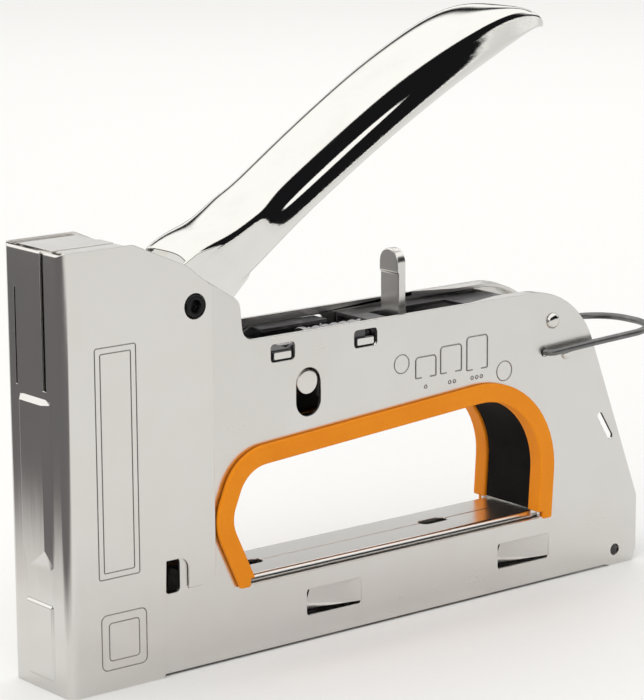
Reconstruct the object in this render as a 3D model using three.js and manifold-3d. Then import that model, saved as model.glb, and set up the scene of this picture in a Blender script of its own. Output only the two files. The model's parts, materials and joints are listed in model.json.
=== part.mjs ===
// Hand staple gun: pressed steel body, hinged squeeze handle, spring-driven striker and staple magazine.
// Millimetres, +Z up. The nose is at low X, the rear at high X, and Y = 0 is the plane between the halves.
import * as THREE from 'three';
import { mergeVertices } from 'three/addons/utils/BufferGeometryUtils.js';
import Module from 'manifold-3d';

const wasm = await Module();
wasm.setup();

// ---- driving dimensions -------------------------------------------------------------------------
const GAP = 0.3;                  // clearance between pieces that touch
const NOSE_HEIGHT = 115;          // nose underside to the top of the nose
const BODY_LENGTH = 200.7;        // nose front to the rearmost edge of the side plates
const PLATE_HALF = 12.45;         // mid-plane to the outer face of a side plate
const PLATE_T = 1.0;              // side plate sheet
const COVER_T = 0.6;              // nose cover sheet
const COVER_REAR = 46.0;          // rear edge of the nose cover's sides
const COVER_BEND = 2.6;           // outside radius of the cover's upright corners
const BODY_TOP = 85.6;            // top edge of the side plates behind the handle
const BEAM_TOP = 21.4;            // top of the lower beam, the floor of the hand opening
const PLATE_BOTTOM = 0.7;         // underside of the side plates, just above the nose's own foot
const TRIM_PROUD = 1.7;           // how far the grip trim stands off the side plate
const TRIM_BAND = 5.3;            // width of the trim's band on the side of the body
const TRIM_LIP = 1.5;             // thickness of the trim inside the opening
const LINER_T = 2.4;              // rubber liner thickness

const PIVOT = { x: 40.55, z: 96.97 };        // handle pivot
const PIN_R = 3.0;                           // handle pivot pin
const HANDLE_SWING = 33;                     // degrees, open to closed
const HANDLE_T = 1.2;                        // handle sheet
const FINGER_REACH = 22.75;                  // pivot to the tip of the lifting finger
const STRIKER_LIFT = 2 * FINGER_REACH * Math.sin(THREE.MathUtils.degToRad(HANDLE_SWING / 2));
const LEVER_PIVOT = { x: 57.5, z: 68.95 };   // hidden pivot of the drive lever
const LEVER_REACH = 49.5;                    // lever pivot to the end that works the striker
const LEVER_HALF_SWING = Math.asin(STRIKER_LIFT / 2 / LEVER_REACH);
const GUIDE_PIN_X = 77.9;                    // the lever's rear pin, seen in the oval slots
const GUIDE_PIN_R = 3.6;
const GUIDE_PIN_RISE = (GUIDE_PIN_X - LEVER_PIVOT.x) * Math.tan(LEVER_HALF_SWING);
const GUIDE_PIN_Z = LEVER_PIVOT.z + GUIDE_PIN_RISE;
const GUIDE_EYE_R = GUIDE_PIN_R + 1.3;       // the lever's eye round the guide pin
const ROD_FRONT_R = 2.1;                     // spring guide rod, ahead of its flange
const ROD_OVER_EYE = 0.264;                  // the rod passes this far above the lever's eye
const SPRING_AXIS_Z = GUIDE_PIN_Z + GUIDE_EYE_R + ROD_OVER_EYE + ROD_FRONT_R;
const SPRING_R = 4.6;                        // main spring outside radius
const SPRING_WIRE = 0.9;                     // main spring wire radius
const BAIL_PIVOT = { x: 163.2, z: 68.0 };    // wire lock
const BAIL_REACH = 46;                       // bail pivot to the middle of its round end
const BAIL_END_R = 12.6;                     // bend of each end corner
const WIRE_R = 1.0;
const ADJUSTER_X = 117.6;                    // force adjuster at its first notch
const ADJUSTER_STEP = 9.3;                   // distance between notches
const ADJUSTER_TOP = 101.6;
const STAPLE_HALF = 5.3;                     // half the staple crown
const STICK_LENGTH = 46;                     // a strip of glued staples

// ---- small tools ----------------------------------------------------------------------------------
const degrees = THREE.MathUtils.degToRad;

function closedMesh(geometry) {
  const plain = geometry.index ? geometry.clone() : geometry;
  plain.deleteAttribute('normal');
  plain.deleteAttribute('uv');
  return mergeVertices(plain, 1e-4);
}

function toSolid(geometry) {
  const mesh = closedMesh(geometry);
  return new wasm.Manifold(new wasm.Mesh({
    numProp: 3,
    vertProperties: new Float32Array(mesh.attributes.position.array),
    triVerts: new Uint32Array(mesh.index.array),
  }));
}

function toGeometry(solid) {
  const mesh = solid.getMesh();
  const geometry = new THREE.BufferGeometry();
  geometry.setAttribute('position', new THREE.BufferAttribute(new Float32Array(mesh.vertProperties), 3));
  geometry.setIndex(new THREE.BufferAttribute(new Uint32Array(mesh.triVerts), 1));
  return geometry;
}

function join(first, ...others) {
  return others.reduce((whole, piece) => whole.add(piece), first);
}

function cut(first, ...others) {
  return others.reduce((whole, piece) => whole.subtract(piece), first);
}

// Extrudes a shape drawn in one plane and turns it so that its depth runs along the third axis.
function extruded(shape, depth, basis, shift, curveSegments) {
  const geometry = new THREE.ExtrudeGeometry(shape, { depth, bevelEnabled: false, curveSegments });
  geometry.applyMatrix4(new THREE.Matrix4().makeBasis(...basis));
  geometry.translate(shift.x, shift.y, shift.z);
  return toSolid(geometry);
}

const X = new THREE.Vector3(1, 0, 0);
const Y = new THREE.Vector3(0, 1, 0);
const Z = new THREE.Vector3(0, 0, 1);

// A shape drawn in (x, z), filling y from low to high.
function slabY(shape, low, high, segments = 6) {
  const basis = [X, Z, Y.clone().negate()];
  return extruded(shape, high - low, basis, new THREE.Vector3(0, high, 0), segments);
}

// A shape drawn in (y, z), filling x from low to high.
function slabX(shape, low, high, segments = 6) {
  return extruded(shape, high - low, [Y, Z, X], new THREE.Vector3(low, 0, 0), segments);
}

// A shape drawn in (x, y), filling z from low to high.
function slabZ(shape, low, high, segments = 6) {
  return extruded(shape, high - low, [X, Y, Z], new THREE.Vector3(0, 0, low), segments);
}

function box(xLow, xHigh, yLow, yHigh, zLow, zHigh) {
  const geometry = new THREE.BoxGeometry(xHigh - xLow, yHigh - yLow, zHigh - zLow);
  geometry.translate((xLow + xHigh) / 2, (yLow + yHigh) / 2, (zLow + zHigh) / 2);
  return toSolid(geometry);
}

function pinY(x, z, radius, yLow, yHigh, sides = 24) {
  const geometry = new THREE.CylinderGeometry(radius, radius, yHigh - yLow, sides);
  geometry.translate(x, (yLow + yHigh) / 2, z);
  return toSolid(geometry);
}

function rodX(y, z, radius, xLow, xHigh, sides = 16) {
  const geometry = new THREE.CylinderGeometry(radius, radius, xHigh - xLow, sides);
  geometry.rotateZ(Math.PI / 2);
  geometry.translate((xLow + xHigh) / 2, y, z);
  return toSolid(geometry);
}

// A polygon of corners [x, y, radius], each corner rounded to its radius by a true arc.
function roundedShape(corners) {
  const shape = new THREE.Shape();
  const count = corners.length;
  corners.forEach(([x, y, radius = 0], index) => {
    const corner = new THREE.Vector2(x, y);
    const before = new THREE.Vector2(...corners[(index + count - 1) % count]).sub(corner).normalize();
    const after = new THREE.Vector2(...corners[(index + 1) % count]).sub(corner).normalize();
    const half = Math.acos(THREE.MathUtils.clamp(before.dot(after), -1, 1)) / 2;
    const tangent = radius / Math.tan(half);
    const start = corner.clone().addScaledVector(before, tangent);
    const draw = index === 0 ? 'moveTo' : 'lineTo';
    shape[draw](start.x, start.y);
    if (radius <= 0) return;
    const inward = before.clone().add(after).normalize();
    const centre = corner.clone().addScaledVector(inward, radius / Math.sin(half));
    const end = corner.clone().addScaledVector(after, tangent);
    const startAngle = Math.atan2(start.y - centre.y, start.x - centre.x);
    const endAngle = Math.atan2(end.y - centre.y, end.x - centre.x);
    const clockwise = before.cross(after) > 0;
    shape.absarc(centre.x, centre.y, radius, startAngle, endAngle, clockwise);
  });
  shape.closePath();
  return shape;
}

// Moves every edge of a counter-clockwise corner list outwards by a distance and keeps the arcs concentric.
function offsetCorners(corners, distance) {
  const count = corners.length;
  return corners.map(([x, y, radius = 0], index) => {
    const here = new THREE.Vector2(x, y);
    const inward = here.clone().sub(new THREE.Vector2(...corners[(index + count - 1) % count])).normalize();
    const onward = new THREE.Vector2(...corners[(index + 1) % count]).sub(here).normalize();
    const normalIn = new THREE.Vector2(inward.y, -inward.x);
    const normalOn = new THREE.Vector2(onward.y, -onward.x);
    const bisector = normalIn.clone().add(normalOn).normalize();
    const moved = here.clone().addScaledVector(bisector, distance / bisector.dot(normalIn));
    const turn = inward.cross(onward) >= 0 ? 1 : -1;
    return [moved.x, moved.y, radius > 0 ? Math.max(radius + turn * distance, 0.2) : 0];
  });
}

function slotShape(xLow, xHigh, yLow, yHigh, radius) {
  const corners = [[xLow, yLow], [xHigh, yLow], [xHigh, yHigh], [xLow, yHigh]];
  return roundedShape(corners.map(([x, y]) => [x, y, radius]));
}

// A round wire or tube along a curve.
function tubeAlong(curve, radius, steps, sides) {
  const section = new THREE.Shape();
  for (let i = 0; i < sides; i += 1) {
    const angle = 2 * Math.PI * i / sides;
    const draw = i === 0 ? 'moveTo' : 'lineTo';
    section[draw](radius * Math.cos(angle), radius * Math.sin(angle));
  }
  section.closePath();
  return toSolid(new THREE.ExtrudeGeometry(section, { steps, bevelEnabled: false, extrudePath: curve }));
}

// Moves a ring of points along a path, square to it and without twist, and lofts a wire through the rings.
function wireThrough(points, radius, sides) {
  const normal = new THREE.Vector3(0.3, 0.2, 1);
  const rings = points.map((point, i) => {
    const tangent = (points[i + 1] ?? point).clone().sub(points[i - 1] ?? point).normalize();
    normal.addScaledVector(tangent, -normal.dot(tangent)).normalize();
    const across = tangent.clone().cross(normal);
    return Array.from({ length: sides }, (_, k) => {
      const angle = 2 * Math.PI * k / sides;
      return point.clone().addScaledVector(normal, radius * Math.cos(angle))
        .addScaledVector(across, radius * Math.sin(angle));
    });
  });
  return loft(rings);
}

// The points of a wire that is bent at each corner [x, y, z, bend] of its route.
function bentPath(route, stepsPerBend) {
  const corners = route.map(([x, y, z]) => new THREE.Vector3(x, y, z));
  return corners.flatMap((corner, i) => {
    const bend = route[i][3];
    if (bend === 0) return [corner];
    const start = corners[i - 1].clone().sub(corner).setLength(bend).add(corner);
    const end = corners[i + 1].clone().sub(corner).setLength(bend).add(corner);
    return new THREE.QuadraticBezierCurve3(start, corner, end).getPoints(stepsPerBend);
  });
}

// A solid through closed sections that all have the same number of points, capped at both ends.
function loft(sections) {
  const count = sections[0].length;
  const points = sections.flat();
  const index = [];
  for (let s = 0; s < sections.length - 1; s += 1) {
    for (let i = 0; i < count; i += 1) {
      const a = s * count + i;
      const b = s * count + (i + 1) % count;
      index.push(a, b, b + count, a, b + count, a + count);
    }
  }
  const centre = (section) => section.reduce((sum, p) => sum.clone().add(p), new THREE.Vector3())
    .divideScalar(count);
  const first = points.push(centre(sections[0])) - 1;
  const last = points.push(centre(sections[sections.length - 1])) - 1;
  const offset = (sections.length - 1) * count;
  for (let i = 0; i < count; i += 1) {
    const j = (i + 1) % count;
    index.push(first, j, i, last, offset + i, offset + j);
  }
  const geometry = new THREE.BufferGeometry();
  geometry.setAttribute('position', new THREE.Float32BufferAttribute(points.flatMap((p) => p.toArray()), 3));
  geometry.setIndex(index);
  const solid = toSolid(geometry);
  if (solid.volume() > 0) return solid;
  geometry.index.array.reverse();
  return toSolid(geometry);
}

class HelixX extends THREE.Curve {
  constructor(xStart, xEnd, y, z, radius, turns) {
    super();
    Object.assign(this, { xStart, xEnd, y, z, radius, turns });
  }

  getPoint(t) {
    const angle = 2 * Math.PI * this.turns * t;
    const x = this.xStart + (this.xEnd - this.xStart) * t;
    const y = this.y + this.radius * Math.cos(angle);
    return new THREE.Vector3(x, y, this.z + this.radius * Math.sin(angle));
  }
}

class HelixY extends THREE.Curve {
  constructor(yStart, yEnd, x, z, radius, turns, startAngle) {
    super();
    Object.assign(this, { yStart, yEnd, x, z, radius, turns, startAngle });
  }

  getPoint(t) {
    const angle = this.startAngle + 2 * Math.PI * this.turns * t;
    const y = this.yStart + (this.yEnd - this.yStart) * t;
    const z = this.z + this.radius * Math.sin(angle);
    return new THREE.Vector3(this.x + this.radius * Math.cos(angle), y, z);
  }
}

// ---- materials and placing --------------------------------------------------------------------------
const finish = {
  plate: { color: 0xd6d3cd, roughness: 0.35, metalness: 1 },
  chrome: { color: 0xe9e8e4, roughness: 0.08, metalness: 1 },
  dark: { color: 0x4c4a4c, roughness: 0.45, metalness: 0.8 },
  black: { color: 0x151516, roughness: 0.7, metalness: 0 },
  orange: { color: 0xee8f22, roughness: 0.5, metalness: 0 },
  spring: { color: 0x77757a, roughness: 0.35, metalness: 1 },
  wire: { color: 0x3a3a3c, roughness: 0.4, metalness: 0.8 },
  staple: { color: 0xc9c9cc, roughness: 0.3, metalness: 1 },
};

const stapleGun = new THREE.Group();

function add(name, solid, look) {
  const mesh = new THREE.Mesh(toGeometry(solid), new THREE.MeshStandardMaterial(finish[look]));
  mesh.name = name;
  stapleGun.add(mesh);
  return mesh;
}

// The same solid on the other side of the mid-plane.
function mirrored(solid) {
  const geometry = toGeometry(solid);
  geometry.scale(1, -1, 1);
  geometry.index.array.reverse();
  return toSolid(geometry);
}

// side is -1 for the left half (towards -Y) and +1 for the right half.
const sides = { left: -1, right: 1 };
const span = (side, inner, outer) => (side < 0 ? [-outer, -inner] : [inner, outer]);

// ---- outlines of the body in (x, z), counter-clockwise ----------------------------------------------
const PLATE_FRONT = COVER_BEND + 0.1;
const COVER_HALF = PLATE_HALF + GAP + COVER_T;
const PLATE_TOP = NOSE_HEIGHT - 0.7;

const plateCorners = [
  [PLATE_FRONT, PLATE_BOTTOM],
  [188.3, PLATE_BOTTOM, 1],
  [190.2, 0, 1],
  [BODY_LENGTH - 1.4, 0, 1.2],
  [BODY_LENGTH, 3.6, 1.2],
  [BODY_LENGTH, 19.9, 3],
  [175.6, BODY_TOP, 26],
  [56.5, BODY_TOP, 3.6],
  [55.4, 96.3, 3.8],
  [38.5, 106.9],
  [21.6, PLATE_TOP, 2],
  [PLATE_FRONT, PLATE_TOP],
];

const openingCorners = [
  [COVER_REAR + TRIM_BAND + 7.3, BEAM_TOP],
  [160.0, BEAM_TOP],
  [162.4, 58.6, 22],
  [COVER_REAR + TRIM_BAND + 5, 51.6, 10],
  [COVER_REAR + TRIM_BAND - 0.4, 38.3, 9],
];

const OVAL = {
  x: GUIDE_PIN_X,
  z: LEVER_PIVOT.z,
  halfWidth: GUIDE_PIN_R + 0.55,
  halfLength: GUIDE_PIN_R + GUIDE_PIN_RISE + 0.314,
};
const tabSlots = [[65.4, 73.4], [93.6, 101.6]];
const SLOT_LOW = 78.5;
const SLOT_HIGH = 83.3;
const windows = [[76.9, 95.9], [145.9, 165.7]];
const WINDOW_LOW = 7.2;
const WINDOW_HIGH = 14.5;
const NOSE_WINDOW = { low: 30.4, high: 37.4, top: 31.3, bottom: 22.9 };
const rearSlot = [[184.9, 46.9], [190.1, 38.6]];
const REAR_SLOT_HALF = 1.0;
const REAR_HOLE = { x: 192.2, z: 4.6, radius: 1.75 };
const LIP_T = 1.2;
const LIP_WIDTH = 4.4;
const LIP_START = 130;
const rivets = {
  rear_rivet_upper: [166.2, 76.6, 2.3],
  rear_rivet_lower: [171.7, 66.4, 1.8],
};
const RIVET_STEM = 0.6;           // rivet stem as a share of its head's radius

const openingShape = (distance) => roundedShape(offsetCorners(openingCorners, distance));

// ---- side plates: the left one is made here and the right one is its mirror image -------------------
const LOUVER_T = 0.8;             // thickness of a pressed window tab
const LOUVER_DEPTH = 2.9;         // how far its free corner is pushed in
const PIN_PLAY = 0.35;            // radial play of the pins in the plates
const acrossPlate = [-PLATE_HALF - 5, -PLATE_HALF + 5];

// The pressed tab of a lanced window: hinged along its top and right edges, deepest at its lower left.
function louver([left, right]) {
  const corners = [
    [left + 1.2, WINDOW_LOW + 0.9, LOUVER_DEPTH],
    [right + 0.5, WINDOW_LOW + 0.5, 0.34],
    [right + 0.5, WINDOW_HIGH + 0.5, 0.15],
    [left + 1.2, WINDOW_HIGH + 0.5, 0.17],
  ];
  const face = (behind) => corners.map(([x, z, depth]) =>
    new THREE.Vector3(x, -PLATE_HALF + depth + behind, z));
  return loft([face(LOUVER_T), face(0)]);
}

function ovalSlot(low, high) {
  const { x, z, halfWidth, halfLength } = OVAL;
  const shape = slotShape(x - halfWidth, x + halfWidth, z - halfLength, z + halfLength, halfWidth - 0.01);
  return slabY(shape, low, high);
}

// The slanted slot near the rear edge.
function rearSlotCutter() {
  const [[x0, z0], [x1, z1]] = rearSlot;
  const along = new THREE.Vector2(x1 - x0, z1 - z0);
  const shape = slotShape(0, along.length(), -REAR_SLOT_HALF, REAR_SLOT_HALF, REAR_SLOT_HALF - 0.05);
  const depth = acrossPlate[1] - acrossPlate[0];
  const geometry = new THREE.ExtrudeGeometry(shape, { depth, bevelEnabled: false });
  geometry.rotateZ(along.angle());
  geometry.translate(x0, z0, 0);
  geometry.applyMatrix4(new THREE.Matrix4().makeBasis(X, Z, Y.clone().negate()));
  geometry.translate(0, acrossPlate[1], 0);
  return toSolid(geometry);
}

function plateHoles() {
  const through = (shape, segments) => slabY(shape, ...acrossPlate, segments);
  const { low, high, top, bottom } = NOSE_WINDOW;
  return [
    through(openingShape(TRIM_LIP + GAP), 7),
    ovalSlot(...acrossPlate),
    ...tabSlots.map(([front, rear]) => through(slotShape(front, rear, SLOT_LOW, SLOT_HIGH, 1.0), 2)),
    ...windows.map(([front, rear]) => through(slotShape(front, rear, WINDOW_LOW, WINDOW_HIGH, 0.8), 2)),
    through(slotShape(low, high - 2.4, bottom - 0.7, top, 1.2), 3),
    pinY(PIVOT.x, PIVOT.z, PIN_R + PIN_PLAY, ...acrossPlate, 18),
    pinY(BAIL_PIVOT.x, BAIL_PIVOT.z, WIRE_R + PIN_PLAY, ...acrossPlate, 12),
    pinY(REAR_HOLE.x, REAR_HOLE.z, REAR_HOLE.radius, ...acrossPlate, 12),
    ...Object.values(rivets).map(([x, z, head]) => pinY(x, z, head * RIVET_STEM + GAP, ...acrossPlate, 10)),
    rearSlotCutter(),
  ];
}

// The edge of the sheet folded inwards along the rear of the top and down the rear curve.
function topLip() {
  const outline = [[LIP_START, BODY_TOP - LIP_T], [174.8, BODY_TOP - LIP_T, 25], [187.1, 51], [188.2, 51],
    [175.4, BODY_TOP - 0.15, 26], [LIP_START, BODY_TOP - 0.15]];
  const lip = slabY(roundedShape(outline), -PLATE_HALF + PLATE_T - 0.1, -PLATE_HALF + LIP_WIDTH, 8);
  const innerFace = -PLATE_HALF + PLATE_T;
  const corners = [[LIP_START - 2, innerFace], [LIP_START + 4, innerFace], [164, -4], [LIP_START - 2, -4]];
  return cut(lip, slabZ(roundedShape(corners), BODY_TOP - 6, BODY_TOP + 1));
}

function sidePlate() {
  const sheet = slabY(roundedShape(plateCorners), -PLATE_HALF, -PLATE_HALF + PLATE_T, 7);
  return join(cut(sheet, ...plateHoles()), topLip(), ...windows.map(louver));
}

const leftPlate = sidePlate();
add('left_side_plate', leftPlate, 'plate');
add('right_side_plate', mirrored(leftPlate), 'plate');

// ---- nose cover: one sheet folded around the nose ---------------------------------------------------
const RIB_LOW = 32;
const RIB_HIGH = 77;
const RIB_PROUD = 1.5;             // how far the rib stands off the front wall
const RIB_HALF = 7.4;              // half width of its foot
const RIB_SLOPE = 2.4;             // how far each side slopes in
const RIB_TAPER = 6;               // length of its lower, gentle end
const NOSE_PAD = { half: 6.4, low: 3, high: 23.5, proud: 0.5, slope: 0.8 };

function coverSection() {
  const outer = COVER_HALF;
  const shape = new THREE.Shape();
  const inside = COVER_BEND - COVER_T;
  shape.moveTo(COVER_REAR + 2, -outer);
  shape.lineTo(COVER_REAR + 2, -outer + COVER_T);
  shape.lineTo(COVER_BEND, -outer + COVER_T);
  shape.absarc(COVER_BEND, -outer + COVER_BEND, inside, -Math.PI / 2, -Math.PI, true);
  shape.lineTo(COVER_T, outer - COVER_BEND);
  shape.absarc(COVER_BEND, outer - COVER_BEND, inside, Math.PI, Math.PI / 2, true);
  shape.lineTo(COVER_REAR + 2, outer - COVER_T);
  shape.lineTo(COVER_REAR + 2, outer);
  shape.lineTo(COVER_BEND, outer);
  shape.absarc(COVER_BEND, outer - COVER_BEND, COVER_BEND, Math.PI / 2, Math.PI, false);
  shape.lineTo(0, -outer + COVER_BEND);
  shape.absarc(COVER_BEND, -outer + COVER_BEND, COVER_BEND, Math.PI, 1.5 * Math.PI, false);
  shape.closePath();
  return shape;
}

function coverProfile() {
  return roundedShape([
    [-0.5, 0, 1],
    [29.3, 0, 0.8],
    [30.2, NOSE_WINDOW.top, 0.2],
    [NOSE_WINDOW.high, NOSE_WINDOW.top, 3.2],
    [NOSE_WINDOW.high, NOSE_WINDOW.bottom, 0.2],
    [COVER_REAR, NOSE_WINDOW.bottom, 4],
    [COVER_REAR, 101.5, 1],
    [38.5, 107.6, 12],
    [21.7, NOSE_HEIGHT, 3],
    [-0.5, NOSE_HEIGHT, 2.5],
  ]);
}

function noseCover() {
  const wide = COVER_HALF + 1;
  const sheet = slabZ(coverSection(), -1, NOSE_HEIGHT + 1, 5);
  const profile = slabY(coverProfile(), -wide, wide, 5);
  const slits = [
    box(-1, 2, -5.3, -3.7, RIB_HIGH + 2, NOSE_HEIGHT + 2),
    box(-1, 2, 7.8, 8.5, RIB_HIGH + 2, NOSE_HEIGHT - 11),
  ];
  const pivotHole = pinY(PIVOT.x, PIVOT.z, PIN_R + 0.35, -wide, wide);
  return cut(sheet.intersect(profile), ...slits, pivotHole);
}

// A raised field pressed out of the front wall: stations are [height, how far it stands off the wall].
function pressedField(stations, half, slope) {
  return loft(stations.map(([z, proud]) => [
    new THREE.Vector3(COVER_T - 0.1, -half, z),
    new THREE.Vector3(-proud, -half + slope, z),
    new THREE.Vector3(-proud, half - slope, z),
    new THREE.Vector3(COVER_T - 0.1, half, z),
  ]));
}

function frontRib() {
  const stations = [[RIB_LOW, -0.1], [RIB_LOW + RIB_TAPER, RIB_PROUD], [RIB_HIGH - 1.2, RIB_PROUD],
    [RIB_HIGH, -0.1]];
  return pressedField(stations, RIB_HALF, RIB_SLOPE);
}

function nosePad() {
  const { half, low, high, proud, slope } = NOSE_PAD;
  return pressedField([[low, -0.1], [low + slope, proud], [high - slope, proud], [high, -0.1]], half, slope);
}

add('nose_cover', join(noseCover(), frontRib(), nosePad()), 'plate');

// ---- inside the nose --------------------------------------------------------------------------------
const INNER_HALF = PLATE_HALF - PLATE_T - GAP;        // free half width between the side plates
const GUIDE_T = 1.2;
const GUIDE_FRONT = COVER_T + GAP;
const BLADE_FRONT = GUIDE_FRONT + GUIDE_T + GAP;
const BLADE_T = 1.1;
const BLADE_REAR = BLADE_FRONT + BLADE_T;
const NOSE_LID_Z = PLATE_TOP - 0.1;

// The striker runs up and down behind this strip, which also lids the nose.
function strikerGuide() {
  const strip = box(GUIDE_FRONT, GUIDE_FRONT + GUIDE_T, -9.4, 9.4, 0, NOSE_LID_Z - 1.6);
  const lid = box(GUIDE_FRONT + 1.5, 21, -5.9, 0.3, NOSE_LID_Z - 0.8, NOSE_LID_Z + 0.5);
  const neck = box(GUIDE_FRONT, GUIDE_FRONT + 2.5, -5.9, 0.3, NOSE_LID_Z - 3, NOSE_LID_Z - 0.2);
  return join(strip, neck, lid);
}

add('striker_guide', strikerGuide(), 'plate');

// Top flanges of the nose, folded in from each side plate's upper edge and overlapping the guide's lid.
function noseTopFlange(innerY, outerY, side) {
  const [low, high] = span(side, innerY, outerY);
  return box(GUIDE_FRONT + 2.2, 21, low, high, NOSE_LID_Z - 0.8, NOSE_LID_Z + 0.3);
}

add('nose_top_left', noseTopFlange(6.3, INNER_HALF, -1), 'plate');
add('nose_top_right', noseTopFlange(0.7, INNER_HALF, 1), 'plate');

const FINGER_REST = degrees(HANDLE_SWING / 2);
const FINGER_TIP = {
  x: PIVOT.x - FINGER_REACH * Math.cos(FINGER_REST),
  z: PIVOT.z - FINGER_REACH * Math.sin(FINGER_REST),
};
const FINGER_TIP_R = 2.0;
const LEVER_TIP = {
  x: LEVER_PIVOT.x - LEVER_REACH * Math.cos(LEVER_HALF_SWING),
  z: LEVER_PIVOT.z - LEVER_REACH * Math.sin(LEVER_HALF_SWING),
};
const LEVER_TIP_R = 2.3;
const LEVER_T = 4.4;

add('striker_blade', box(BLADE_FRONT, BLADE_REAR, -STAPLE_HALF, STAPLE_HALF, 1.0, 74), 'spring');

// The folded head carries the lever's window and the hook that the handle's finger lifts.
function strikerHead() {
  const front = BLADE_REAR + GAP;
  const web = front + 1.5;
  const lipReach = LEVER_TIP.x + 2.6;
  const low = LEVER_TIP.z - LEVER_TIP_R - 0.7;
  const high = LEVER_TIP.z + LEVER_TIP_R + 0.7;
  const hook = FINGER_TIP.z + FINGER_TIP_R + 0.4;
  const shape = roundedShape([
    [front, low - 2.4], [lipReach, low - 2.4, 0.6], [lipReach, low, 0.6], [web, low], [web, high],
    [lipReach, high, 0.6], [lipReach, high + 2.4, 0.6], [web, high + 2.4], [web, hook],
    [FINGER_TIP.x + 0.4, hook, 0.6], [FINGER_TIP.x + 0.4, hook + 3, 1.2], [front, hook + 3, 1.2],
  ]);
  return slabY(shape, -4.6, 4.6, 3);
}

add('striker_head', strikerHead(), 'spring');

// ---- drive lever: front tip in the striker, rear pin in the oval slots, upper lug against the spring 
const LUG_REACH = SPRING_AXIS_Z - LEVER_PIVOT.z;
const LEVER_PIN_R = 2.5;

function driveLever() {
  const { x, z } = LEVER_PIVOT;
  const slope = new THREE.Vector2(LEVER_TIP.x - x, LEVER_TIP.z - z).normalize();
  const normal = new THREE.Vector2(-slope.y, slope.x);
  const frontArm = roundedShape([
    [x - normal.x * 5.2, z - normal.y * 5.2], [x + normal.x * 5.2, z + normal.y * 5.2],
    [LEVER_TIP.x + normal.x * 2.1, LEVER_TIP.z + normal.y * 2.1],
    [LEVER_TIP.x - normal.x * 2.1, LEVER_TIP.z - normal.y * 2.1],
  ].reverse());
  const rearArm = roundedShape([
    [x, z - 5.6], [GUIDE_PIN_X, GUIDE_PIN_Z - GUIDE_EYE_R], [GUIDE_PIN_X, GUIDE_PIN_Z + GUIDE_EYE_R - 2],
    [x, z + 4.6],
  ]);
  const lugTop = z + LUG_REACH + 3;
  const lug = roundedShape([[x - 4, z], [x + 4, z], [x + 2.4, lugTop, 1.5], [x - 2.4, lugTop, 1.5]]);
  const half = LEVER_T / 2;
  const body = join(
    slabY(frontArm, -half, half), slabY(rearArm, -half, half), slabY(lug, -half, half, 3),
    pinY(x, z, 6.2, -half, half, 28), pinY(LEVER_TIP.x, LEVER_TIP.z, LEVER_TIP_R, -half, half, 16),
    pinY(GUIDE_PIN_X, GUIDE_PIN_Z, GUIDE_EYE_R, -half, half, 24),
  );
  const pivotHole = pinY(x, z, LEVER_PIN_R + GAP, -half - 1, half + 1);
  const pinHole = pinY(GUIDE_PIN_X, GUIDE_PIN_Z, GUIDE_PIN_R + GAP, -half - 1, half + 1);
  return cut(body, pivotHole, pinHole);
}

add('drive_lever', driveLever(), 'dark');

const leverPivotPin = pinY(LEVER_PIVOT.x, LEVER_PIVOT.z, LEVER_PIN_R, -INNER_HALF, INNER_HALF);
add('lever_pivot_pin', leverPivotPin, 'spring');

const GUIDE_PIN_REACH = PLATE_HALF - 0.35;
const guidePin = pinY(GUIDE_PIN_X, GUIDE_PIN_Z, GUIDE_PIN_R, -GUIDE_PIN_REACH, GUIDE_PIN_REACH, 32);
add('lever_guide_pin', guidePin, 'plate');

// ---- spring housing: a dark bracket between the plates, hooked into their slots ---------------------
const HOUSING_FRONT = 50;
const HOUSING_REAR = 158;
const HOUSING_TOP = BODY_TOP - 2.2;
const SHEET = 1.0;
const SEAT_X = 108;                      // fixed rear seat of the main spring
const ROD_REAR_R = 1.8;                  // guide rod inside the spring
const SPRING_FRONT = 85;                 // the rod's flange, behind the guide pin

const ROOF_Z = [HOUSING_TOP - SHEET, HOUSING_TOP];
const FRONT_ROOF_DROP = 2;
const THROAT = [98.5, 106.2];            // gap in the walls' upper edge, ahead of the seat
const RAIL_INNER = 5.2;                  // inner edge of the roof strips beside the spring

function housingWalls() {
  const outline = roundedShape([
    [HOUSING_FRONT, 64.5, 2], [HOUSING_REAR - 8, 72, 2], [HOUSING_REAR, HOUSING_TOP - 4, 2],
    [HOUSING_REAR, HOUSING_TOP], [THROAT[1], HOUSING_TOP], [THROAT[1], HOUSING_TOP - 6],
    [THROAT[0], HOUSING_TOP - 6], [THROAT[0], HOUSING_TOP], [76, HOUSING_TOP],
    [72, HOUSING_TOP - FRONT_ROOF_DROP, 1], [61, HOUSING_TOP - FRONT_ROOF_DROP, 1], [HOUSING_FRONT, 78, 2],
  ]);
  return [-1, 1].map((side) => slabY(outline, ...span(side, INNER_HALF - SHEET, INNER_HALF), 3));
}

function housingRoofs() {
  const strips = [-1, 1].flatMap((side) => {
    const across = span(side, RAIL_INNER, INNER_HALF);
    const lower = ROOF_Z.map((z) => z - FRONT_ROOF_DROP);
    return [
      box(THROAT[1], 145, ...across, ...ROOF_Z),
      box(76, THROAT[0], ...across, ...ROOF_Z),
      box(61.5, 72.5, ...span(side, 3.4, INNER_HALF), ...lower),
    ];
  });
  const roofFront = ADJUSTER_X + 2 * ADJUSTER_STEP + 4.9;
  const rearRoof = box(roofFront, HOUSING_REAR, -INNER_HALF, INNER_HALF, ...ROOF_Z);
  const bridge = box(THROAT[1], 112.6, -INNER_HALF, INNER_HALF, ...ROOF_Z);
  return [rearRoof, bridge, ...strips];
}

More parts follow.
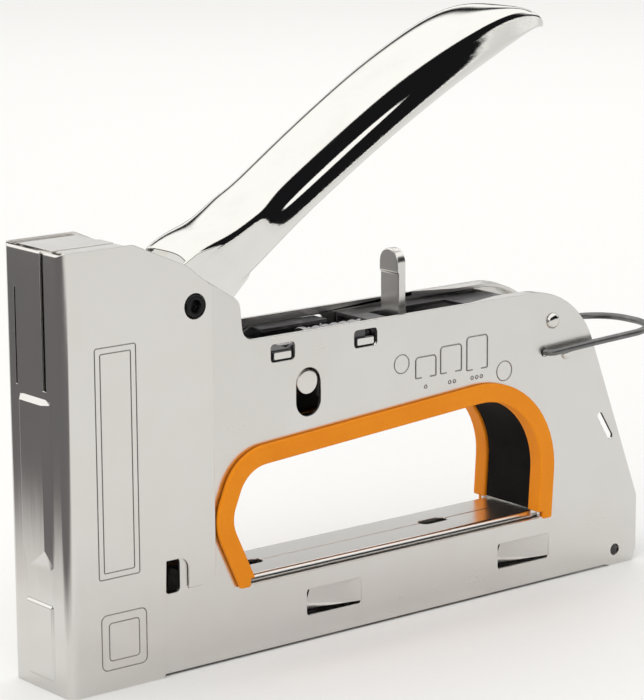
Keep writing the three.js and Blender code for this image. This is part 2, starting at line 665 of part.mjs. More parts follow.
function springHousing() {
  const seatPlate = box(SEAT_X, SEAT_X + 2, -INNER_HALF, INNER_HALF, 73, HOUSING_TOP - 0.1);
  const seat = cut(seatPlate, rodX(0, SPRING_AXIS_Z, ROD_REAR_R + 0.4, SEAT_X - 1, SEAT_X + 3));
  const floor = box(SEAT_X - 2, 150, -INNER_HALF, INNER_HALF, 72.6, 73.6);
  const hooks = [-1, 1].flatMap((side) => tabSlots.map(([low, high]) => {
    const across = span(side, INNER_HALF - 0.1, PLATE_HALF - 0.2);
    return box(low + 1.0, high - 1.0, ...across, SLOT_LOW + 0.5, SLOT_HIGH - 2.3);
  }));
  const pivotHole = pinY(LEVER_PIVOT.x, LEVER_PIVOT.z, LEVER_PIN_R + GAP, -PLATE_HALF, PLATE_HALF);
  const [firstWall, secondWall] = housingWalls();
  const whole = join(firstWall, secondWall, ...housingRoofs(), seat, floor, ...hooks);
  return cut(whole, pivotHole, ovalSlot(-PLATE_HALF, PLATE_HALF));
}

add('spring_housing', springHousing(), 'dark');

const ROD_FRONT = LEVER_PIVOT.x + 3.7;
const SEAT_DISC_T = 1.6;

// Guide rod of the main spring: its head is pushed back by the lever's lug.
function springRod() {
  return join(
    rodX(0, SPRING_AXIS_Z, ROD_FRONT_R, ROD_FRONT, SPRING_FRONT + 0.4, 12),
    rodX(0, SPRING_AXIS_Z, SPRING_R, SPRING_FRONT, SPRING_FRONT + SEAT_DISC_T, 20),
    rodX(0, SPRING_AXIS_Z, ROD_REAR_R, SPRING_FRONT + 1, SEAT_X + 2.5, 12),
  );
}

add('spring_rod', springRod(), 'spring');

const SPRING_TURNS = 5;
function mainSpring() {
  const start = SPRING_FRONT + SEAT_DISC_T + SPRING_WIRE + GAP;
  const end = SEAT_X - SPRING_WIRE - GAP;
  const helix = new HelixX(start, end, 0, SPRING_AXIS_Z, SPRING_R - SPRING_WIRE, SPRING_TURNS);
  return tubeAlong(helix, SPRING_WIRE, SPRING_TURNS * 10, 5);
}

add('main_spring', mainSpring(), 'spring');

// ---- force adjuster: a tab that slides through three notches ----------------------------------------
const TAB_HALF = 4.0;
const TAB_T = 2.6;
const SHOE_Z = [74.4, 77.4];

function forceAdjuster() {
  const tabShape = (bottom) => roundedShape([[-TAB_HALF, bottom], [TAB_HALF, bottom],
    [TAB_HALF, ADJUSTER_TOP, TAB_HALF - 0.05], [-TAB_HALF, ADJUSTER_TOP, TAB_HALF - 0.05]]);
  const rear = ADJUSTER_X + TAB_T / 2;
  const stem = slabX(tabShape(SHOE_Z[0] + 1), ADJUSTER_X - TAB_T / 2, rear, 5);
  const thumbPad = slabX(tabShape(95), ADJUSTER_X - TAB_T / 2 - 0.4, rear, 5);
  const shoe = box(ADJUSTER_X - 3.6, ADJUSTER_X + 3.6, -9.2, 9.2, ...SHOE_Z);
  return join(stem, thumbPad, shoe);
}

add('force_adjuster', forceAdjuster(), 'plate');

// ---- handle -----------------------------------------------------------------------------------------
const HANDLE_FORK_HALF = 10.3;

// Stations along the handle: crown point, lower edge point, half width and how fluted the side is.
const handleStations = [
  [[39.8, 110.2], [46.5, 90.5], 10.2, 0],
  [[46.5, 113.6], [53.8, 96.2], 10.2, 0],
  [[53.5, 115.0], [60.8, 102.6], 10.4, 0],
  [[62.0, 119.4], [67.0, 108.6], 11.3, 0.3],
  [[72.0, 126.2], [76.5, 115.6], 12.2, 0.8],
  [[84.5, 134.6], [90.0, 124.0], 12.6, 1],
  [[98.0, 143.2], [104.0, 132.8], 12.7, 1],
  [[112.0, 151.5], [118.5, 140.8], 12.7, 1],
  [[125.5, 158.2], [131.0, 147.5], 12.7, 1],
  [[137.0, 163.0], [141.5, 152.2], 12.6, 0.9],
  [[146.5, 165.8], [149.5, 156.0], 12.2, 0.6],
  [[154.5, 166.3], [156.0, 158.9], 11.2, 0.2],
  [[161.5, 164.9], [161.8, 159.9], 9.2, 0],
  [[166.5, 162.5], [166.4, 159.5], 6.6, 0],
  [[169.8, 160.2], [169.6, 158.8], 3.4, 0],
];

// Half of the channel's cross-section as fractions of its half width and its depth, lower edge to crown.
const plainSide = [[1, 0], [1, 0.16], [1, 0.34], [0.995, 0.52], [0.97, 0.7], [0.86, 0.86], [0.6, 0.96]];
const flutedSide = [[1, 0], [0.93, 0.1], [0.82, 0.26], [0.78, 0.44], [0.8, 0.6], [0.74, 0.78], [0.5, 0.93]];

function handleSection([[cx, cz], [bx, bz], half, fluted], shrink, drop) {
  const crown = new THREE.Vector3(cx, 0, cz);
  const lower = new THREE.Vector3(bx, 0, bz);
  const up = crown.clone().sub(lower);
  const depth = up.length();
  up.normalize();
  const at = (across, height) => lower.clone().addScaledVector(up, height).setY(across);
  const right = plainSide.map(([w, h], i) => {
    const across = THREE.MathUtils.lerp(w, flutedSide[i][0], fluted) * half - shrink;
    const height = THREE.MathUtils.lerp(h, flutedSide[i][1], fluted) * (depth - shrink);
    return [Math.max(across, 0.3), i === 0 ? -drop : height];
  });
  const left = right.map(([across, height]) => [-across, height]).reverse();
  return [...right, [0, depth - shrink], ...left].map(([across, height]) => at(across, height));
}

const FINGER_HALF = 3;
const HUB_R = 5.6;
const CHEEK_INNER = HANDLE_FORK_HALF - HANDLE_T - 0.2;

function liftingFinger() {
  const { x, z } = PIVOT;
  const shape = roundedShape([
    [FINGER_TIP.x, FINGER_TIP.z - FINGER_TIP_R], [x - 2, z - 6], [x + 2, z + 5], [x - 5, z + 5.2],
    [FINGER_TIP.x + 3.5, FINGER_TIP.z + FINGER_TIP_R + 0.3, 2], [FINGER_TIP.x, FINGER_TIP.z + FINGER_TIP_R],
  ]);
  const tip = pinY(FINGER_TIP.x, FINGER_TIP.z, FINGER_TIP_R, -FINGER_HALF, FINGER_HALF, 16);
  return join(slabY(shape, -FINGER_HALF, FINGER_HALF), tip);
}

// The sheet's inside: the same stations pulled in by the sheet's thickness, open below and at the front.
function handleHollow() {
  const stations = handleStations.slice(0, 13);
  return loft(stations.map((station, i) => {
    const section = handleSection(station, HANDLE_T, 3);
    return i === 0 ? section.map((point) => point.clone().add(new THREE.Vector3(-4, 0, -2.3))) : section;
  }));
}

function handleSolid() {
  const outer = loft(handleStations.map((station) => handleSection(station, 0, 0)));
  const cheekShape = roundedShape([[33.2, 90.2, 6.5], [48, 89.6, 6], [62.4, 103.4, 2], [57, 112.8, 3],
    [44, 110.2, 4], [33.2, 104, 6]]);
  const cheeks = [-1, 1].map((side) =>
    slabY(cheekShape, ...span(side, CHEEK_INNER, HANDLE_FORK_HALF - 0.1)));
  const hubReach = HANDLE_FORK_HALF - 0.6;
  const hub = pinY(PIVOT.x, PIVOT.z, HUB_R, -hubReach, hubReach, 28);
  const pivotHole = pinY(PIVOT.x, PIVOT.z, PIN_R + GAP, -PLATE_HALF, PLATE_HALF, 28);
  return cut(join(cut(outer, handleHollow()), ...cheeks, hub, liftingFinger()), pivotHole);
}

add('handle', handleSolid(), 'chrome');

// Hollow riveted pivot pin with a black bush showing on both sides.
const PIN_BORE_R = 1.5;
const PIN_BORE_DEPTH = 2;

function pivotPin() {
  const reach = COVER_HALF + GAP;
  const bore = (low, high) => pinY(PIVOT.x, PIVOT.z, PIN_BORE_R, low, high, 20);
  const pin = pinY(PIVOT.x, PIVOT.z, PIN_R, -reach, reach, 32);
  return cut(pin, bore(-reach - 1, -reach + PIN_BORE_DEPTH), bore(reach - PIN_BORE_DEPTH, reach + 1));
}

add('handle_pivot_pin', pivotPin(), 'black');

// Torsion spring around the handle's hub: one leg against the handle, the other against the housing.
const RETURN_WIRE = 0.6;
const RETURN_TURNS = 3;

function returnSpring() {
  const inner = FINGER_HALF + 0.6 + RETURN_WIRE;
  const outer = CHEEK_INNER - 0.1 - RETURN_WIRE;
  const radius = HUB_R + 0.5 + RETURN_WIRE;
  const coil = new HelixY(inner, outer, PIVOT.x, PIVOT.z, radius, RETURN_TURNS, degrees(20));
  return tubeAlong(coil, RETURN_WIRE, RETURN_TURNS * 10, 5);
}

add('handle_return_spring', returnSpring(), 'spring');

// ---- grip trim and liner ----------------------------------------------------------------------------
const TRIM_END_Z = BEAM_TOP - 1.9;

const TRIM_TUCK = 3.2;            // how far the trim reaches in past the plate's outer face
const overOpening = [40, 175];    // a span in x that covers the whole hand opening

function gripTrim(side) {
  const outerFace = PLATE_HALF + TRIM_PROUD;
  const face = cut(
    slabY(openingShape(TRIM_BAND), ...span(side, PLATE_HALF + GAP, outerFace), 8),
    box(...overOpening, -20, 20, 0, TRIM_END_Z),
  );
  const lip = cut(
    slabY(openingShape(TRIM_LIP), ...span(side, PLATE_HALF - TRIM_TUCK, outerFace), 8),
    box(...overOpening, -20, 20, 0, BEAM_TOP + GAP),
  );
  const footRoom = box(57, 162, -20, 20, 0, BEAM_TOP + GAP);
  return cut(join(face, lip), slabY(openingShape(0), -20, 20, 8), footRoom);
}

for (const [name, side] of Object.entries(sides)) {
  add(`grip_trim_${name}`, gripTrim(side), 'orange');
}

const LINER_SET_BACK = 0.5;       // the liner's face behind the opening's edge

function gripLiner() {
  const half = PLATE_HALF - TRIM_TUCK - GAP;
  const outer = slabY(openingShape(LINER_SET_BACK + LINER_T), -half, half, 8);
  const inner = slabY(openingShape(LINER_SET_BACK), -half - 1, half + 1, 8);
  return cut(outer, inner, box(...overOpening, -20, 20, 0, BEAM_TOP + 0.6));
}

add('grip_liner', gripLiner(), 'black');

// ---- lower beam: two folded rails that meet over the magazine ---------------------------------------
const RAIL_REAR = 178;
const RAIL_FRONT = 47.5;
const RAIL_FOOT = 14.6;
const RAIL_HALF = PLATE_HALF - PLATE_T - 0.9;

function beamRail(side) {
  const bend = 1.6;
  const section = roundedShape([
    [side * 0.15, BEAM_TOP - 1], [side * 0.15, BEAM_TOP], [side * RAIL_HALF, BEAM_TOP, bend],
    [side * RAIL_HALF, RAIL_FOOT], [side * (RAIL_HALF - 1), RAIL_FOOT],
    [side * (RAIL_HALF - 1), BEAM_TOP - 1, bend - 1],
  ]);
  const rail = slabX(section, RAIL_FRONT, RAIL_REAR, 4);
  const hole = (low, high) => slabZ(slotShape(low, high, -2.1, 2.1, 2.05), BEAM_TOP - 3, BEAM_TOP + 1, 5);
  return cut(rail, hole(62, 71), hole(127.3, 136.8));
}

for (const [name, side] of Object.entries(sides)) {
  add(`beam_rail_${name}`, beamRail(side), 'plate');
}

// ---- rivets -----------------------------------------------------------------------------------------
const RIVET_HEAD_GAP = 0.12;      // between a rivet's head and the plate

// A dome-headed rivet through both side plates with a spacer stem between them.
function throughRivet(x, z, radius) {
  const face = PLATE_HALF + RIVET_HEAD_GAP;
  const stem = radius * RIVET_STEM;
  const dome = [[0, 1.1], [radius * 0.55, 0.95], [radius * 0.88, 0.55], [radius, 0.1], [radius, 0],
    [stem, 0]];
  const near = dome.map(([r, y]) => new THREE.Vector2(r, -face - y));
  const far = dome.map(([r, y]) => new THREE.Vector2(r, face + y)).reverse();
  const geometry = new THREE.LatheGeometry([...near, ...far], 18);
  geometry.translate(x, 0, z);
  return toSolid(geometry);
}

for (const [name, [x, z, radius]] of Object.entries(rivets)) {
  add(name, throughRivet(x, z, radius), 'plate');
}

// Spacer that keeps the rear of the body apart above the magazine.
const SPACER = { x: 187, z: 17.4, radius: 2.4 };
add('rear_spacer', pinY(SPACER.x, SPACER.z, SPACER.radius, -INNER_HALF, INNER_HALF, 16), 'spring');

// ---- wire lock bail ---------------------------------------------------------------------------------
const BAIL_CLEAR = 1.4;           // between the bail's legs and the side plates, past the rivet heads

function lockBail() {
  const legY = PLATE_HALF + WIRE_R + BAIL_CLEAR;
  const { x, z } = BAIL_PIVOT;
  const half = [
    [x, PLATE_HALF - PLATE_T - 2.2, z, 0],
    [x, legY, z, 2.2],
    [x + 16, legY, z + 0.8, 12],
    [x + BAIL_REACH, legY - 0.9, z + 1.6, BAIL_END_R],
  ];
  const near = half.map(([px, py, pz, bend]) => [px, -py, pz, bend]);
  return wireThrough(bentPath([...near, ...half.reverse()], 9), WIRE_R, 8);
}

add('lock_bail', lockBail(), 'wire');

// ---- magazine ---------------------------------------------------------------------------------------
const MAGAZINE_FRONT = BLADE_REAR + GAP;
const CHANNEL_REAR = 187;
const CHANNEL_INNER = STAPLE_HALF + 0.6;
const CHANNEL_OUTER = CHANNEL_INNER + 1;
const CHANNEL_TOP = 13.2;
const CROWN_TOP = 10.2;
const RAIL_CORE = 4.3;

// Fixed channel that holds the staples down and to the sides, open below at the rear for loading.
function magazineChannel() {
  return cut(
    box(MAGAZINE_FRONT, CHANNEL_REAR, -CHANNEL_OUTER, CHANNEL_OUTER, PLATE_BOTTOM + 0.3, CHANNEL_TOP),
    box(MAGAZINE_FRONT - 1, CHANNEL_REAR + 1, -CHANNEL_INNER, CHANNEL_INNER, -1, CHANNEL_TOP - 1),
  );
}

add('magazine_channel', magazineChannel(), 'spring');

// Sliding core that the staples straddle: a channel with its open side up, for the pusher and its spring.
const CORE_FRONT = MAGAZINE_FRONT + 0.2;
const CORE_REAR = 192;
const CORE_TOP = CROWN_TOP - 1.2;
const PUSHER_ROD_Z = 5.2;
const PUSHER_ROD_R = 0.6;

const CORE_BOTTOM = 1.0;
const CORE_WALL = 0.9;
const CORE_END = 4;                // solid length at each end of the core

function magazineCore() {
  const outer = box(CORE_FRONT, CORE_REAR, -RAIL_CORE, RAIL_CORE, CORE_BOTTOM, CORE_TOP);
  const free = RAIL_CORE - CORE_WALL;
  const inside = [CORE_FRONT + CORE_END, CORE_REAR - CORE_END, -free, free];
  return cut(outer, box(...inside, CORE_BOTTOM + CORE_WALL, CORE_TOP + 2));
}

add('magazine_core', magazineCore(), 'spring');

const STICK_FRONT = CORE_FRONT;
const PUSHER_X = STICK_FRONT + STICK_LENGTH + GAP;

const STAPLE_WIRE = 0.6;
const STAPLE_FOOT = 1.6;

function staples() {
  const rear = STICK_FRONT + STICK_LENGTH;
  const inside = STAPLE_HALF - STAPLE_WIRE;
  const outer = box(STICK_FRONT, rear, -STAPLE_HALF, STAPLE_HALF, STAPLE_FOOT, CROWN_TOP);
  return cut(outer, box(STICK_FRONT - 1, rear + 1, -inside, inside, 0, CROWN_TOP - STAPLE_WIRE));
}

add('staple_stick', staples(), 'staple');

// Saddle that rides over the core and pushes the staples forward; its tongue hangs down inside the core.
const PUSHER_LENGTH = 12;
const TONGUE = [PUSHER_X + 3, PUSHER_X + 8];

function pusher() {
  const rear = PUSHER_X + PUSHER_LENGTH;
  const inside = RAIL_CORE + GAP;
  const saddle = cut(
    box(PUSHER_X, rear, -STAPLE_HALF, STAPLE_HALF, 2.4, CROWN_TOP + 0.4),
    box(PUSHER_X - 1, rear + 1, -inside, inside, 0, CORE_TOP + GAP),
  );
  const tongue = box(...TONGUE, -2.4, 2.4, 2.6, CORE_TOP + 1);
  return cut(join(saddle, tongue), rodX(0, PUSHER_ROD_Z, PUSHER_ROD_R + GAP, PUSHER_X, rear, 12));
}

add('pusher', pusher(), 'orange');

const feedSpan = [CORE_FRONT + CORE_END + GAP, CORE_REAR - CORE_END - GAP];
add('pusher_rod', rodX(0, PUSHER_ROD_Z, PUSHER_ROD_R, ...feedSpan, 8), 'spring');

const PUSHER_TURNS = 13;
const FEED_WIRE_R = 0.4;
const FEED_COIL_R = 1.9;

function pusherSpring() {
  const start = TONGUE[1] + GAP + FEED_WIRE_R + 0.1;
  const end = feedSpan[1] - FEED_WIRE_R - 0.1;
  const helix = new HelixX(start, end, 0, PUSHER_ROD_Z, FEED_COIL_R, PUSHER_TURNS);
  return tubeAlong(helix, FEED_WIRE_R, PUSHER_TURNS * 6, 4);
}

add('pusher_spring', pusherSpring(), 'spring');

// End block at the rear of the core: the finger grip used to draw the magazine out.
const GRIP_REAR = 198.6;
const GRIP_HALF = 8.4;

function magazineGrip() {
  const front = CORE_REAR + GAP;
  const outline = [[front, 0.9, 0.8], [GRIP_REAR, 0.9, 2], [GRIP_REAR, 9.4, 2], [front, 9.4, 0.8]];
  const notch = box(GRIP_REAR - 1.4, GRIP_REAR + 1, -6, 6, 3.4, 7);
  return cut(slabY(roundedShape(outline), -GRIP_HALF, GRIP_HALF, 4), notch);
}

add('magazine_grip', magazineGrip(), 'dark');

// The origin is under the middle of the whole tool, on the surface that its nose and rear foot stand on.
const whole = new THREE.Box3().setFromObject(stapleGun, true);
stapleGun.position.x = -(whole.min.x + whole.max.x) / 2;

export default stapleGun;
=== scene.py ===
# %% [markdown]
# # A hand staple gun
# The tool is a pressed steel body, a chromed squeeze handle, an orange grip trim and a wire lock. The
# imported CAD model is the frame: it fixes where every piece is and how it moves. This lesson gives each
# piece its final shape and finish around that frame, one short cell at a time.

# %% Load the frame
import json
import math

import bmesh
import bpy
from mathutils import Matrix, Vector


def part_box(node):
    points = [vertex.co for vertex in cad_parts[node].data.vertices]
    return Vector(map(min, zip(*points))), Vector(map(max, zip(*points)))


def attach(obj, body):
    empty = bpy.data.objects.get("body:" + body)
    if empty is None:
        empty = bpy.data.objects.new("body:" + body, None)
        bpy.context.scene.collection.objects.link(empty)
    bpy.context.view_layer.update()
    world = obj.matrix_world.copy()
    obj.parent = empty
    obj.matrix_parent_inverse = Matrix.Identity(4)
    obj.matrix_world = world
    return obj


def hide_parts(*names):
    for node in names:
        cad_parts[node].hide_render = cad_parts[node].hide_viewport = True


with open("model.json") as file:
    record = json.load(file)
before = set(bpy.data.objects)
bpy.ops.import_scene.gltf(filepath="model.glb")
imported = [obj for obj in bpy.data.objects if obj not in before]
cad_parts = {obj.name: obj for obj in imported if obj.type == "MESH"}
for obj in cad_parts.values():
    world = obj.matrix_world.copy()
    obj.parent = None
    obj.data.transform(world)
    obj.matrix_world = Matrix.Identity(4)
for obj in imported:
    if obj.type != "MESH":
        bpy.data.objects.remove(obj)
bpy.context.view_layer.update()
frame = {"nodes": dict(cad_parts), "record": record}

# %% [markdown]
# Blender works in metres, and a small tool is easier to think about in millimetres. The tool's own zero is
# the front wall of its nose, which stands a known distance ahead of the striker guide inside it, so one
# function turns "millimetres from the nose" into a place in the frame.

# %% Measure from the nose
MM = 0.001
GUIDE_BEHIND_FRONT = 0.9
NOSE_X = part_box("striker_guide")[0].x - GUIDE_BEHIND_FRONT * MM


def place(x, y, z):
    """A point given in millimetres from the nose, the middle plane and the table."""
    return Vector((NOSE_X + x * MM, y * MM, z * MM))


PLATE_HALF = 12.45
COVER_HALF = 13.35
print("nose at x =", round(NOSE_X, 5))

# %% [markdown]
# ## Camera
# The camera stands to the left of the nose and a little above it, and looks along the tool with a long
# lens, which keeps the perspective gentle. Its three axes are written out as rows, because a camera looks
# down its own -Z.

# %% Camera
CAMERA_AT = Vector((-484.95, -593.06, 237.88)) * MM
CAMERA_RIGHT = Vector((0.78096657, -0.62454508, -0.00588705))
CAMERA_DOWN = Vector((-0.13463773, -0.15913957, -0.97803235))
CAMERA_FORWARD = Vector((0.60988843, 0.76460319, -0.20837002))
FOCAL_LENGTH = 147.2

camera_data = bpy.data.cameras.new("camera")
camera_data.lens = FOCAL_LENGTH
camera_data.sensor_width = 36
camera_data.sensor_fit = "AUTO"
camera_data.clip_start = 0.01
camera_data.clip_end = 50
camera = bpy.data.objects.new("camera", camera_data)
axes = Matrix((CAMERA_RIGHT, -CAMERA_DOWN, -CAMERA_FORWARD)).transposed().to_4x4()
camera.matrix_world = Matrix.Translation(CAMERA_AT) @ axes
bpy.context.scene.collection.objects.link(camera)
bpy.context.scene.camera = camera
print("camera lens", FOCAL_LENGTH, "mm")

# %% [markdown]
# ## Shader maths
# Every finish below is a small tree of nodes. Writing `noise * 0.2 + 0.5` is easier to read than four nodes
# and five links, so one class wraps a socket, and each operator adds the Math node it stands for.


# %% Shader maths
class Signal:
    """A shader socket that Python's operators can work with."""

    def __init__(self, tree, socket):
        self.tree = tree
        self.socket = socket

    def node(self, kind, settings=None, values=None, output=0):
        """Adds a node: its settings first, then the values or links of its sockets."""
        made = self.tree.nodes.new(kind)
        for name, setting in (settings or {}).items():
            setattr(made, name, setting)
        for name, value in (values or {}).items():
            if isinstance(value, Signal):
                self.tree.links.new(value.socket, made.inputs[name])
            else:
                made.inputs[name].default_value = value
        return Signal(self.tree, made.outputs[output])

    def maths(self, operation, first, second=0.0):
        return self.node("ShaderNodeMath", {"operation": operation}, {0: first, 1: second})

    def __add__(self, other):
        return self.maths("ADD", self, other)

    def __sub__(self, other):
        return self.maths("SUBTRACT", self, other)

    def __rsub__(self, other):
        return self.maths("SUBTRACT", other, self)

    def __mul__(self, other):
        return self.maths("MULTIPLY", self, other)

    __radd__ = __add__
    __rmul__ = __mul__

    def fade(self, low, high):
        """0 below low, 1 above high, smooth between."""
        return self.node("ShaderNodeMapRange", {"interpolation_type": "SMOOTHSTEP"},
                         {"Value": self, "From Min": low, "From Max": high})

    def noise(self, scale, detail=3.0, roughness=0.55, stretch=(1, 1, 1)):
        """Fractal noise on this vector; scale counts lumps per metre."""
        stretched = self.node("ShaderNodeMapping", None, {"Vector": self, "Scale": stretch})
        return self.node("ShaderNodeTexNoise", None,
                         {"Vector": stretched, "Scale": scale, "Detail": detail, "Roughness": roughness})

    def mix(self, colour_a, colour_b):
        """Two colours blended by this value."""
        return self.node("ShaderNodeMix", {"data_type": "RGBA"},
                         {0: self, 6: colour_a, 7: colour_b}, output=2)


def rgba(red, green, blue):
    return (red, green, blue, 1.0)


print("shader maths ready")

# %% [markdown]
# ## Studio
# Bright metal has no colour of its own: it shows the room. The room here is a large soft dome that starts
# just above a dark horizon, with a dark wall in front and a dark board hung at the back. Surfaces that lean
# back mirror the dome and go white, and those that face the horizon, the wall or the board catch it as a
# crisp dark band.


# %% Studio room
# Heights and edges are on the unit sphere of directions: 0 is level and 1 is straight up or straight ahead.
DOME_LIGHT = 1.0
HORIZON = 0.11
EDGE_BLUR = 0.04
ROOM_DARK = (0.008, 0.008, 0.009)
ROOM_BRIGHT = (1.0, 0.99, 0.97)
FRONT_WALL = {"heading": (0.35, -0.94, 0.0), "edges": (0.45, 0.75), "bottom": -1.0, "top": 0.54}
BACK_BOARD = {"heading": (0.62, 0.78, 0.0), "edges": (0.62, 0.85), "bottom": 0.29, "top": 0.42}


def studio_room():
    """A bright dome over a dark horizon, with a dark wall in front and a dark board hung at the back."""
    world = bpy.data.worlds.new("studio")
    bpy.context.scene.world = world
    world.use_nodes = True
    tree = world.node_tree
    background = tree.nodes["Background"]
    direction = Signal(tree, tree.nodes.new("ShaderNodeTexCoord").outputs["Generated"])
    height = direction.node("ShaderNodeSeparateXYZ", None, {0: direction}, output="Z")
    dome = (height - HORIZON).fade(-EDGE_BLUR, EDGE_BLUR)
    for wall in (FRONT_WALL, BACK_BOARD):
        facing = direction.node("ShaderNodeVectorMath", {"operation": "DOT_PRODUCT"},
                                {0: direction, 1: wall["heading"]}, output="Value")
        above_bottom = (height - wall["bottom"]).fade(-EDGE_BLUR, EDGE_BLUR)
        below_top = 1.0 - (height - wall["top"]).fade(-EDGE_BLUR, EDGE_BLUR)
        dome = dome * (1.0 - facing.fade(*wall["edges"]) * above_bottom * below_top)
    colour = dome.mix(rgba(*ROOM_DARK), rgba(*ROOM_BRIGHT))
    tree.links.new(colour.socket, background.inputs[0])
    background.inputs[1].default_value = DOME_LIGHT
    return world


studio_room()
bpy.context.scene.view_settings.view_transform = "Standard"
print("studio dome over a dark horizon")

# %% [markdown]
# A large area light stands in for the main softbox, and a weaker one lifts the far side.


# %% Soft lights
def soft_light(name, at, aim, size, watts):
    data = bpy.data.lights.new(name, "AREA")
    data.shape = "RECTANGLE"
    data.size, data.size_y = size
    data.energy = watts
    light = bpy.data.objects.new(name, data)
    light.visible_glossy = False
    turn = (aim - at).to_track_quat("-Z", "Y").to_matrix().to_4x4()
    light.matrix_world = Matrix.Translation(at) @ turn
    bpy.context.scene.collection.objects.link(light)
    return light


middle = Vector((0, 0, 0.08))
soft_light("key_softbox", Vector((-0.9, -0.8, 1.5)), middle, (1.2, 0.9), 6)
soft_light("back_softbox", Vector((0.9, 1.0, 1.3)), middle, (1.0, 0.8), 3)
print("two softboxes")

# %% [markdown]
# A finish is one Principled shader. Numbers that are the same all over are set on its own sockets, and only
# what varies, such as colour, roughness and bump, is linked.


# %% Start a finish
def start_finish(name, **even):
    """A new material with its shader, its object coordinates, and its even values set."""
    material = bpy.data.materials.new(name)
    material.use_nodes = True
    tree = material.node_tree
    shader = tree.nodes["Principled BSDF"]
    for socket, value in even.items():
        shader.inputs[socket.replace("_", " ")].default_value = value
    where = tree.nodes.new("ShaderNodeTexCoord")
    return material, shader, Signal(tree, where.outputs["Object"])


def link_finish(shader, where, colour=None, roughness=None, bump=None, bump_mm=0.01):
    """Joins what varies over the surface to the shader."""
    tree = where.tree
    if colour is not None:
        tree.links.new(colour.socket, shader.inputs["Base Color"])
    if roughness is not None:
        tree.links.new(roughness.socket, shader.inputs["Roughness"])
    if bump is not None:
        raised = where.node("ShaderNodeBump", None,
                            {"Height": bump, "Strength": 1.0, "Distance": bump_mm * MM})
        tree.links.new(raised.socket, shader.inputs["Normal"])


print("finishes start from one shader")

# %% [markdown]
# ## Finishes
# The body is pressed steel with a satin nickel plate. Rolling leaves faint upright streaks, handling leaves
# cloudy patches, and the plate is a touch warmer than bare steel. The streaks are noise stretched about
# eightyfold along one axis, which costs nothing.


# %% Plated steel
STREAKS_ALONG = {"z": (1, 1, 0.012), "x": (0.012, 1, 1)}
PLATE_RELIEF_MM = 0.0014
RIPPLE_STRETCH = (1, 1, 0.12)


def plated_steel(name, tone, rough, streak_axis, cloud=0.05, ripple_mm=0.0):
    """Nickel-plated sheet; streak_axis is the rolling direction, ripple_mm the height of slow waves in it."""
    material, shader, where = start_finish(name, Metallic=1.0)
    streaks = where.noise(1500, 2.0, 0.6, STREAKS_ALONG[streak_axis])
    clouds = where.noise(38, 4.0, 0.6)
    specks = where.noise(5200, 1.0, 0.5)
    shade = clouds * cloud + streaks * 0.035 + (0.965 - cloud / 2)
    warmer = rgba(tone[0] * 0.97, tone[1] * 0.965, tone[2] * 0.95)
    warm = clouds.fade(0.35, 0.7).mix(rgba(*tone), warmer)
    colour = where.node("ShaderNodeMix", {"data_type": "RGBA", "blend_type": "MULTIPLY"},
                        {0: 1.0, 6: warm, 7: shade}, output=2)
    roughness = clouds * 0.1 + streaks * 0.05 + (rough - 0.075)
    relief = streaks * 0.7 + specks * 0.3
    if ripple_mm:
        relief = relief + where.noise(260, 2.0, 0.5, RIPPLE_STRETCH) * (ripple_mm / PLATE_RELIEF_MM)
    link_finish(shader, where, colour, roughness, relief, PLATE_RELIEF_MM)
    return material


PLATE_TONE = (0.95, 0.935, 0.912)
COVER_TONE = (0.93, 0.912, 0.885)
satin_plate = plated_steel("satin_plated_steel", PLATE_TONE, 0.25, "x")
cover_plate = plated_steel("bright_cover_steel", COVER_TONE, 0.13, "z", ripple_mm=0.05)
print("plated steel in two grades")

# %% [markdown]
# The handle is polished chrome. A perfect mirror looks computer-made, so a very fine orange-peel bump
# breaks the edges of its reflections, and faint fingerprints change its gloss.


# %% Chrome
PEEL_MM = 0.013


def chrome():
    material, shader, where = start_finish("polished_chrome", Metallic=1.0)
    smudges = where.noise(60, 4.0, 0.6).fade(0.42, 0.75)
    peel = where.noise(900, 3.0, 0.6)
    pits = where.noise(4200, 1.0, 0.5)
    colour = smudges.mix(rgba(0.985, 0.975, 0.94), rgba(0.94, 0.93, 0.895))
    link_finish(shader, where, colour, smudges * 0.05 + 0.04, peel * 0.5 + pits * 0.5, PEEL_MM)
    return material


polished_chrome = chrome()
print("chrome")

# %% [markdown]
# Inside the body sits phosphated sheet, near black but not flat: it holds oil unevenly and rubs bright on
# its high spots. Bare spring steel and the coated lock wire use the same recipe with other tones.


# %% Dark and bare steels
DULL_RELIEF_MM = 0.008


def dull_steel(name, tone, worn, rough, metallic=0.9, patch=180.0):
    material, shader, where = start_finish(name, Metallic=metallic)
    patches = where.noise(patch, 4.0, 0.6)
    grain = where.noise(3600, 2.0, 0.6)
    rubbed = (patches * 0.7 + grain * 0.3).fade(0.52, 0.72)
    colour = rubbed.mix(rgba(*tone), rgba(*worn))
    roughness = patches * 0.16 + (rough - 0.08)
    link_finish(shader, where, colour, roughness, grain * 0.7 + patches * 0.3, DULL_RELIEF_MM)
    return material


dark_steel = dull_steel("phosphated_steel", (0.15, 0.147, 0.152), (0.34, 0.33, 0.335), 0.34)
spring_steel = dull_steel("bare_spring_steel", (0.42, 0.41, 0.42), (0.6, 0.59, 0.58), 0.26, 1.0)
lock_wire = dull_steel("coated_lock_wire", (0.21, 0.21, 0.21), (0.36, 0.36, 0.355), 0.3, 0.85, 320.0)
black_oxide = dull_steel("black_oxide", (0.012, 0.012, 0.013), (0.06, 0.06, 0.065), 0.3, 0.6, 500.0)
staple_wire = dull_steel("galvanised_wire", (0.66, 0.66, 0.68), (0.78, 0.78, 0.8), 0.22, 1.0, 700.0)
# The stamped marks' beads are dark grey: painted shade that stands in for the shadow in coined grooves and in
# the cover seam.
painted_groove_shade = dull_steel("painted_groove_shade_steel", (0.30, 0.29, 0.28), (0.44, 0.43, 0.42), 0.3, 1.0, 900.0)
print("dull steels")

